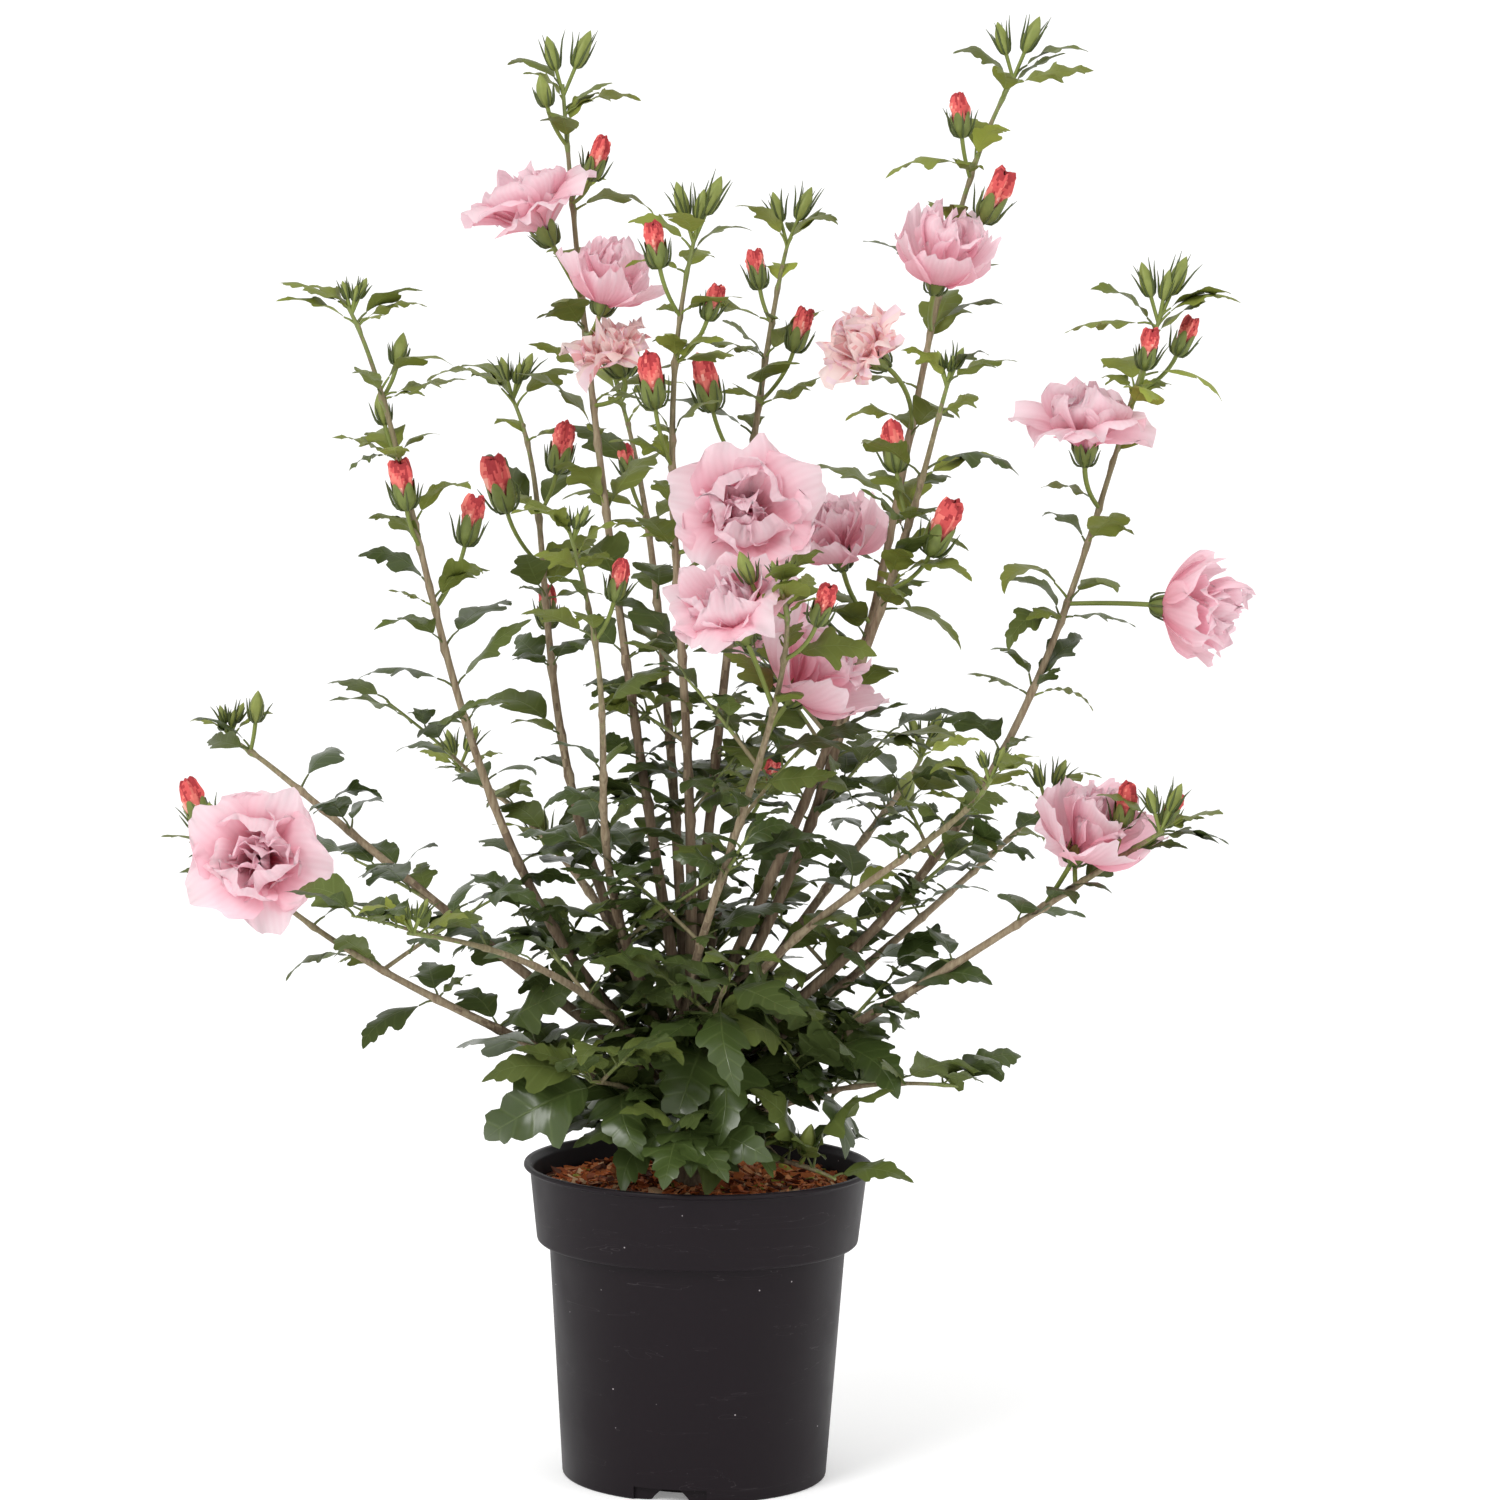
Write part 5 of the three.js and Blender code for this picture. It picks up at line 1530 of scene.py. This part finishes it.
def add_bloom(petals, anthers, plan, draws):
    """The petals of a bloom from the outside in, and its column with a few anthers."""
    _, base, facing, width, depth, look = plan
    flower = Flower(base, facing)
    faded = look == "faded"
    rim, height = width / 2, width * depth
    ruffle = width * (0.15 if faded else 0.085)
    spin = draws.uniform(0, 72)
    for k in range(OUTER_PETALS):
        lean = draws.uniform(-0.08, 0.08) * width
        line = bloom_line(width * draws.uniform(0.92, 1.06), depth, lean)
        turn_angle = spin + 72 * k + draws.uniform(-8, 8)
        half, tuck = rim * 0.74, 0.08 * rim
        add_petal(petals, flower, turn_angle, line, half, ruffle, OUTER_GRID, faded, draws, 0.06, tuck)
    for k in range(MIDDLE_PETALS):
        reach, top = rim * draws.uniform(0.62, 0.9), height * draws.uniform(1.0, 1.3)
        folded = draws.uniform(0, 1)  # how far the petal closes over the middle again
        end = (reach * (1 - 0.85 * folded), top * (0.86 + 0.3 * folded))
        line = [(0.3 * reach, 0.6 * top), (reach * (0.75 + 0.4 * folded), 1.12 * top), end]
        turn_angle = spin + 36 + 72 * k + draws.uniform(-14, 14)
        half, tuck = rim * 0.58, 0.1 * rim
        # The middle petals are paler partly as painted light, against the shade inside the bowl.
        add_petal(petals, flower, turn_angle, line, half, ruffle, MIDDLE_GRID, faded, draws, 0.2, tuck)
    for k in range(TUFT_PETALS):
        reach, top = rim * draws.uniform(0.28, 0.6), height * draws.uniform(0.9, 1.3)
        end = (reach * draws.uniform(0.4, 1), top * draws.uniform(0.92, 1.04))
        line = [(0.2 * reach + 1, 0.5 * top), (reach, 0.9 * top), end]
        turn_angle = NODE_TURN * k + draws.uniform(-20, 20)
        half = rim * draws.uniform(0.42, 0.6)
        # The tuft is paler partly as painted light, against the shade in the bloom's middle.
        shift = draws.uniform(0.1, 0.45)
        add_petal(petals, flower, turn_angle, line, half, ruffle * 1.3, TUFT_GRID, faded, draws, shift)
    column = [base + facing * PETAL_FOOT_HEIGHT, base + facing * height * 0.45]
    anthers.add_rod(tube(column, [1.5, 0.9], 6), 0)
    for _ in range(ANTHER_COUNT):
        place = base + facing * height * draws.uniform(0.34, 0.52) + draws.normal(0, 0.04 * rim, 3)
        anthers.add(ANTHER_CORNERS * ANTHER_SIZE + place, [ANTHER_FACES], 0)


def add_heart(petals, plan, draws):
    """The small pale petals that close over the middle of a bloom."""
    _, base, facing, width, depth, look = plan
    flower = Flower(base, facing)
    rim, height = width / 2, width * depth
    for k in range(HEART_PETALS):
        reach, top = rim * draws.uniform(0.12, 0.34), height * draws.uniform(1.05, 1.4)
        line = [(0.5 * reach, 0.5 * top), (reach, 0.85 * top), (reach * draws.uniform(-0.6, 0.6), top)]
        # The heart's paleness is partly its own colour and partly painted light in the shaded throat.
        half, shift = rim * draws.uniform(0.3, 0.44), draws.uniform(0.4, 0.75)
        turn_angle = NODE_TURN * k + draws.uniform(-20, 20)
        faded, ruffle = look == "faded", width * 0.07
        add_petal(petals, flower, turn_angle, line, half, ruffle, TUFT_GRID, faded, draws, shift)


petals, anthers = Heap("bloom_petals"), Heap("stamens")
bloom_draws, heart_draws = np.random.default_rng(8), np.random.default_rng(9)
for plan in bloom_plans:
    add_bloom(petals, anthers, plan, bloom_draws)
    add_heart(petals, plan, heart_draws)
print("the petals have", petals.size, "points")

# %% [markdown]
# ## Petal tissue
#
# A petal is thin and full of water and air, so light goes through it as well as off it. A little more
# than half of its finish is a translucent shader, and the rest is a rough, slightly silky one. A petal
# is deep pink at its throat and nearly white at its edge, with fine veins that fan out along it. One
# material with a ramp would do, but one for each zone keeps every colour plain, as on the leaves. Inside
# a zone one stop turns to the next.

# %% Petal materials
# From the throat to the edge.
PETAL_STOPS = ["#dc668c", "#eb93ae", "#f1b6c4", "#f4cbd5", "#f6dce3", "#f8ecf0"]
PETAL_NAMES = ["throat", "deep", "middle", "pale", "edge"]
PETAL_VEINS = 15  # across one petal
VEIN_DEPTH = 0.06
VEIN_TINT = "#e29bb0"
LIGHT_THROUGH = 0.55
THROUGH_TINT = "#ffe3ea"  # light that has gone through a petal is pinker


def petal_material(name, near, far, low, high):
    """One zone of a petal: near turns to far between two shares of its length."""
    material, tree = new_material(name)
    across, along = growth_place(tree)
    veins = calculated(tree, "SINE", calculated(tree, "MULTIPLY", across, PETAL_VEINS * math.pi * 2))
    colour = mixed(tree, mapped(tree, along, low, high), linear(near), linear(far))
    depth = mapped(tree, veins, -1.0, 1.0, 0.0, VEIN_DEPTH)
    colour = mixed(tree, depth, colour, linear(VEIN_TINT), "MULTIPLY")
    bumps = relief(tree, veins, 0.25, 0.0003)
    silk = {"Roughness": 0.6, "IOR": 1.4, "Specular IOR Level": 0.3, "Sheen Weight": 0.1}
    surface = add_node(tree, "BsdfPrincipled", {"Base Color": colour, "Normal": bumps, **silk})
    deeper = mixed(tree, 1.0, colour, linear(THROUGH_TINT), "MULTIPLY")
    through = add_node(tree, "BsdfTranslucent", {"Color": deeper, "Normal": bumps})
    both = add_node(tree, "MixShader", {0: LIGHT_THROUGH, 1: surface.outputs[0], 2: through.outputs[0]})
    add_node(tree, "OutputMaterial", {"Surface": both.outputs[0]})
    return material


def plain_plant_material(name, light, dark, spot, roughness):
    """Plant tissue with a faint mottle; spot is the size of its patches in millimetres."""
    material, tree = new_material(name)
    mottle = noise(tree, object_place(tree), spot, 3.0)
    colour = mixed(tree, mottle, linear(dark), linear(light))
    bumps = relief(tree, mottle, 0.3, 0.0003)
    skin = {"Base Color": colour, "Roughness": roughness, "IOR": 1.4, "Normal": bumps}
    return finished(material, tree, skin)


borders = [0, *ZONES, 1]
petal_tints = [
    petal_material(f"rose petal tissue, {name}", *PETAL_STOPS[k:k + 2], *borders[k:k + 2])
    for k, name in enumerate(PETAL_NAMES)
]
petal_tints.append(petal_material("wilted petal tissue, cream", "#f5dcd2", "#faf0ea", 0, 1))
petal_tints.append(petal_material("wilted petal tissue, rust", "#dc8d98", "#eec2c0", 0, 1))
settle(petals.mesh(), "bloom_petals", petal_tints, MASSES)
pollen = plain_plant_material("anthers with pollen", "#f4e3b4", "#dcc183", 2, 0.8)
settle(anthers.mesh(), "stamens", [pollen], MASSES)

# %% [markdown]
# ## Buds, calyces and bracts
#
# Under each flower sits a cup of five pointed sepals, and under that a ring of thin bracts, which
# stand out like the legs of a spider. A bud that is about to open shows its folded petals, crumpled
# and coral red. A green bud is still closed: the same cup drawn up to a point.

# %% Sepals, bracts and folded petals
SEPALS = 5
CUP_ROWS, CUP_COLUMNS = 9, 30
BUD_ROWS, BUD_COLUMNS = 11, 20
FOLD_ROWS, FOLD_COLUMNS = 15, 32
BRACT_COUNT = 7
BRACT_RADII = [0.5, 0.75, 0.8, 0.7, 0.5, 0.12]
BRACT_SIDES = 4
SEPAL_SKIN, BRACT_SKIN, GREEN_BUD_SKIN = 0, 1, 2
# The tones run from pale at the foot to dark at the tip. The pleats' valleys get darker tones as painted
# shade, and their ridges paler ones as painted light.
FOLD_TONES = [0.32, 0.68, 0.98]  # where the four tones of a folded petal meet


def rings_round(flower, radius, height):
    """A grid of points round the flower's axis from grids of radius and height."""
    angles = np.arange(radius.shape[1]) * 360 / radius.shape[1]
    out = np.stack([flower.out(angle) for angle in angles])
    return flower.base + radius[..., None] * out + height[..., None] * flower.facing


def add_cup(heap, flower, length, width, spread):
    """A cup of five pointed sepals. spread is how wide its mouth is, as a share of its width."""
    angles = np.arange(CUP_COLUMNS) * 2 * math.pi / CUP_COLUMNS
    lobe = np.abs(np.cos(SEPALS / 2 * angles))
    height = np.linspace(0, 1, CUP_ROWS)[:, None] * length * (0.52 + 0.48 * lobe ** 0.8)
    body = np.interp(height / length, [0, 0.1, 0.3, 0.6, 1], [0.26, 0.6, 0.94, spread, 1.02 * spread])
    radius = width / 2 * body * (1 + 0.04 * np.cos(SEPALS * angles))
    heap.add_sheet(rings_round(flower, radius, height), SEPAL_SKIN, closed=True)


def add_closed_bud(heap, flower, length, width):
    """A green bud with five faint ribs, drawn up to a point."""
    angles = np.arange(BUD_COLUMNS) * 2 * math.pi / BUD_COLUMNS
    share = np.linspace(0, 1, BUD_ROWS)[:, None]
    body = np.interp(share, [0, 0.12, 0.4, 0.66, 0.88, 1], [0.3, 0.74, 1, 0.86, 0.42, 0.05])
    radius = width / 2 * body * (1 + 0.16 * np.abs(np.cos(SEPALS / 2 * angles)) ** 0.5 - 0.08)
    height = share * length * np.ones(BUD_COLUMNS)
    heap.add_sheet(rings_round(flower, radius, height), GREEN_BUD_SKIN, closed=True)


def add_bracts(heap, flower, length, width, draws, count=BRACT_COUNT):
    """Thin bracts that hug the bud and then stand a little away from it."""
    for k in range(count):
        out = flower.out(360 / count * k + draws.uniform(-14, 14))
        reach = length * draws.uniform(0.72, 1.12)
        flare = draws.uniform(0.04, 0.36)
        steps = [(width * 0.14, 0.5), (width * 0.62, reach * 0.06), (width * 0.6, reach * 0.6)]
        steps.append((width * 0.56 + reach * flare, reach))
        path = [flower.base + out * away + flower.facing * up for away, up in steps]
        rings = tube(bezier(path, np.linspace(0, 1, len(BRACT_RADII))), BRACT_RADII, BRACT_SIDES)
        heap.add_sheet(rings, BRACT_SKIN, closed=True)


def add_folded_petals(heap, flower, length, width, draws):
    """The crumpled petals of an opening bud: pleats that cross each other, and a ragged top."""
    angles = np.arange(FOLD_COLUMNS) * 2 * math.pi / FOLD_COLUMNS
    share = np.linspace(0, 1, FOLD_ROWS)[:, None]
    pleats = np.zeros((FOLD_ROWS, FOLD_COLUMNS))
    for count, strength in ((2, 0.06), (3, 0.09), (5, 0.1), (7, 0.07), (11, 0.05)):
        lean = draws.uniform(-3.5, 3.5)
        pleats += strength * (1 - 2 * np.abs(np.sin(count * angles / 2 + lean * share + draws.uniform(0, 6))))
    crumple = draws.normal(0, 0.035, pleats.shape)
    body = np.interp(share, [0, 0.3, 0.62, 0.86, 0.95, 1], [0.5, 0.84, 1, 0.84, 0.6, 0.22])
    radius = width / 2 * body * (1 + pleats + crumple)
    ragged = 0.07 * np.clip((share - 0.6) / 0.4, 0, 1) * waves(angles / math.pi, (2, 5, 8), draws)
    height = length * (0.2 + 0.8 * np.minimum(share * 1.05, 1.0) + ragged - 0.06 * (share > 0.98))
    # Darker towards the tip, and darker in the pleats' valleys as painted shade and paler on their ridges as
    # painted light.
    tone = share[:-1] * 1.1 - 1.5 * pleats[:-1] + draws.normal(0, 0.1, pleats[:-1].shape)
    skins = np.digitize(tone, FOLD_TONES).ravel()
    heap.add_sheet(rings_round(flower, radius, height), skins, closed=True)


print("a bud stands on", BRACT_COUNT, "bracts")

# %% Put buds and stalks in place
CALYX_WIDTH = 13.5
CALYX_LENGTH = 20
BRACT_LENGTH = 15
BUD_BRACT_LENGTH = 19
STALK_RADIUS = 1.35
STALK_RINGS, STALK_SIDES = 9, 7
calyces, bud_petals = Heap("calyces_and_bracts"), Heap("coral_bud_petals")
cup_draws = np.random.default_rng(21)


def add_stalk(root, base, facing, radius):
    """A flower stalk that arrives at the calyx the way the flower faces."""
    reach = np.linalg.norm(base - root)
    path = bezier([root, base - facing * 0.45 * reach, base + facing], np.linspace(0, 1, STALK_RINGS))
    rings = tube(path, np.linspace(radius, radius * 1.1, STALK_RINGS), STALK_SIDES)
    stalks.add_sheet(rings, FLOWER_STALK, closed=True)


for root, base, facing, _, depth, _ in bloom_plans:
    flower = Flower(base, facing)
    spread = 1.3 if depth < CUP_DEPTH else 1.12
    add_cup(calyces, flower, CALYX_LENGTH, CALYX_WIDTH, spread)
    add_bracts(calyces, flower, BRACT_LENGTH, CALYX_WIDTH, cup_draws)
    add_stalk(root, base, facing, STALK_RADIUS * 1.15)
for root, base, facing, size, is_open in bud_plans:
    flower = Flower(base, facing)
    length, width = BUD_LENGTH * size, BUD_WIDTH * size
    if is_open:
        add_cup(calyces, flower, length * 0.6, width, 0.98)
        add_folded_petals(bud_petals, flower, length, width * 0.98, cup_draws)
    else:
        add_closed_bud(calyces, flower, length, width * 0.95)
    add_bracts(calyces, flower, BUD_BRACT_LENGTH * size ** 0.5, width, cup_draws)
    add_stalk(root, base, facing, STALK_RADIUS)

# The green buds round each wand's tip.
TIP_BUD_TURN = 165
TIP_STALK_SHARE = 0.42
TIP_BRACTS = 6
TIP_BUD_REACH = 34
# How far the buds reach beyond the wand's tip, where it isn't TIP_BUD_REACH.
TIP_REACHES = {
    "left_top": 46, "right_top": 44, "right_tall": 46, "centre_top": 46, "centre_right": 42,
    "left_tall": 25, "left_front": 25, "right_front": 26, "front_centre": 22, "right_inner": 24,
    "left_far": 26, "front_left": 24,
}
for stem in stems:
    for k in range(stem.buds):
        root = stem.at(0.985)
        along = direction(TIP_BUD_TURN * k, 68 + 5 * k)
        reach = TIP_REACHES.get(stem.name, TIP_BUD_REACH) * (1 - 0.12 * k)
        base = root + along * reach * TIP_STALK_SHARE
        flower = Flower(base, along)
        length = reach * (1 - TIP_STALK_SHARE)
        add_closed_bud(calyces, flower, length, length * 0.38)
        add_bracts(calyces, flower, length, length * 0.36, cup_draws, TIP_BRACTS)
        add_stalk(root, base, along, STALK_RADIUS * 0.9)
print("the buds and calyces have", calyces.size + bud_petals.size, "points")

# %% [markdown]
# ## Green skin and folded petals
#
# Sepals and stalks are green skin with a thin wax. Bracts are darker. The folded petals are crumpled
# and dry at their tips, coral over a paler foot. The valleys of their pleats are darker, which is painted
# shade, and their ridges paler, which is painted light. All of it is small, so one plain finish with a
# faint mottle serves for each tint.

# %% Finish buds and stalks
calyx_finishes = [
    plain_plant_material("sepal, green skin", "#76813f", "#5c6731", 4, 0.55),
    plain_plant_material("bract, dark green skin", "#545f31", "#414b27", 3, 0.6),
    plain_plant_material("closed bud, fresh green skin", "#889049", "#6d7838", 4, 0.5),
]
bud_finishes = [
    # The pale tint also paints light on the pleats' ridges, and the dark tint paints shade in their valleys.
    plain_plant_material("folded petal tissue, pale foot and painted light on ridges", "#f3b7a8", "#e99a8c", 3, 0.7),
    plain_plant_material("folded petal tissue, coral", "#e68376", "#db6a62", 2, 0.7),
    plain_plant_material("folded petal tissue, red", "#d45c58", "#bf4648", 2, 0.75),
    plain_plant_material("folded petal tissue, dark tip and painted shade in creases", "#b0393c", "#8f2b31", 2, 0.8),
]
stalk_finishes = [
    plain_plant_material("leaf stalk, dark", "#616a3a", "#4f572d", 5, 0.6),
    plain_plant_material("leaf stalk, fresh", "#7f8a44", "#6c7839", 5, 0.6),
    plain_plant_material("flower stalk, green skin", "#7b8640", "#667234", 5, 0.55),
]
settle(calyces.mesh(), "calyces_and_bracts", calyx_finishes, MASSES)
settle(bud_petals.mesh(), "coral_bud_petals", bud_finishes, MASSES, sharp_angle=50)
settle(stalks.mesh(), "leaf_and_flower_stalks", stalk_finishes, MASSES)

# %% [markdown]
# ## Floor and light
#
# A plain pale floor that curves up far behind the shrub, as a paper sweep in a studio does, keeps the
# horizon out of sight. The light is soft: a bright even sky, one large lamp from the upper left in
# front that gives the leaves a sheen, and a weak one from the right.

# %% Floor
FLOOR_FRONT = -9000
FLOOR_BACK = 7000
SWEEP_RADIUS = 2500
SWEEP_TOP = 9000
SWEEP_STEPS = 24
FLOOR_HALF_WIDTH = 9000
PAPER_GLOW = 0.22  # the sweep is lit from behind as well, so that it stays white round the shrub

sweep = [(FLOOR_FRONT, 0)]
for angle in np.linspace(0, math.pi / 2, SWEEP_STEPS):
    sweep.append((FLOOR_BACK + SWEEP_RADIUS * math.sin(angle), SWEEP_RADIUS * (1 - math.cos(angle))))
sweep.append((FLOOR_BACK + SWEEP_RADIUS, SWEEP_TOP))
paper = Heap("paper_sweep")
edges = (-FLOOR_HALF_WIDTH, FLOOR_HALF_WIDTH)
paper.add_sheet(np.array([[(x, y, z) for x in edges] for y, z in sweep], float), 0)
paper_mesh = paper.mesh()
paper_mesh.shade_smooth()

material, tree = new_material("white paper sweep")
paper_mesh.materials.append(finished(material, tree, {
    "Base Color": linear("#f8f8f8"),
    "Roughness": 0.9,
    "Emission Color": (1, 1, 1, 1),
    "Emission Strength": PAPER_GLOW,
    "Normal": relief(tree, noise(tree, object_place(tree), 4, 2.0), 0.02, 0.0002),
}))
floor = bpy.data.objects.new("paper_sweep", paper_mesh)
bpy.context.scene.collection.objects.link(floor)
print("the floor is", round((FLOOR_BACK - FLOOR_FRONT) * MM), "m deep")

# %% Light
SKY_LIGHT = 0.85


def add_lamp(name, place, aim, size, watts):
    lamp_data = bpy.data.lights.new(name, "AREA")
    lamp_data.shape = "DISK"
    lamp_data.size = size
    lamp_data.energy = watts
    lamp = bpy.data.objects.new(name, lamp_data)
    lamp.location = place
    lamp.rotation_euler = (Vector(aim) - Vector(place)).to_track_quat("-Z", "Y").to_euler()
    bpy.context.scene.collection.objects.link(lamp)


world = bpy.data.worlds.new("studio")
bpy.context.scene.world = world
world.use_nodes = True
sky = world.node_tree.nodes["Background"]
sky.inputs["Color"].default_value = (1, 1, 1, 1)
seen = add_node(world.node_tree, "LightPath", {}).outputs["Is Camera Ray"]
strength = mapped(world.node_tree, seen, 0.0, 1.0, SKY_LIGHT, 1.0)  # the camera sees plain white
world.node_tree.links.new(strength, sky.inputs["Strength"])
add_lamp("key_lamp", (-1.8, -2.6, 2.6), (0, 0, 0.5), 1.6, 75)
add_lamp("fill_lamp", (2.4, -2.0, 1.4), (0, 0, 0.5), 1.8, 18)
bpy.context.scene.view_settings.view_transform = "Standard"
print("a key lamp, a fill lamp and an even sky")
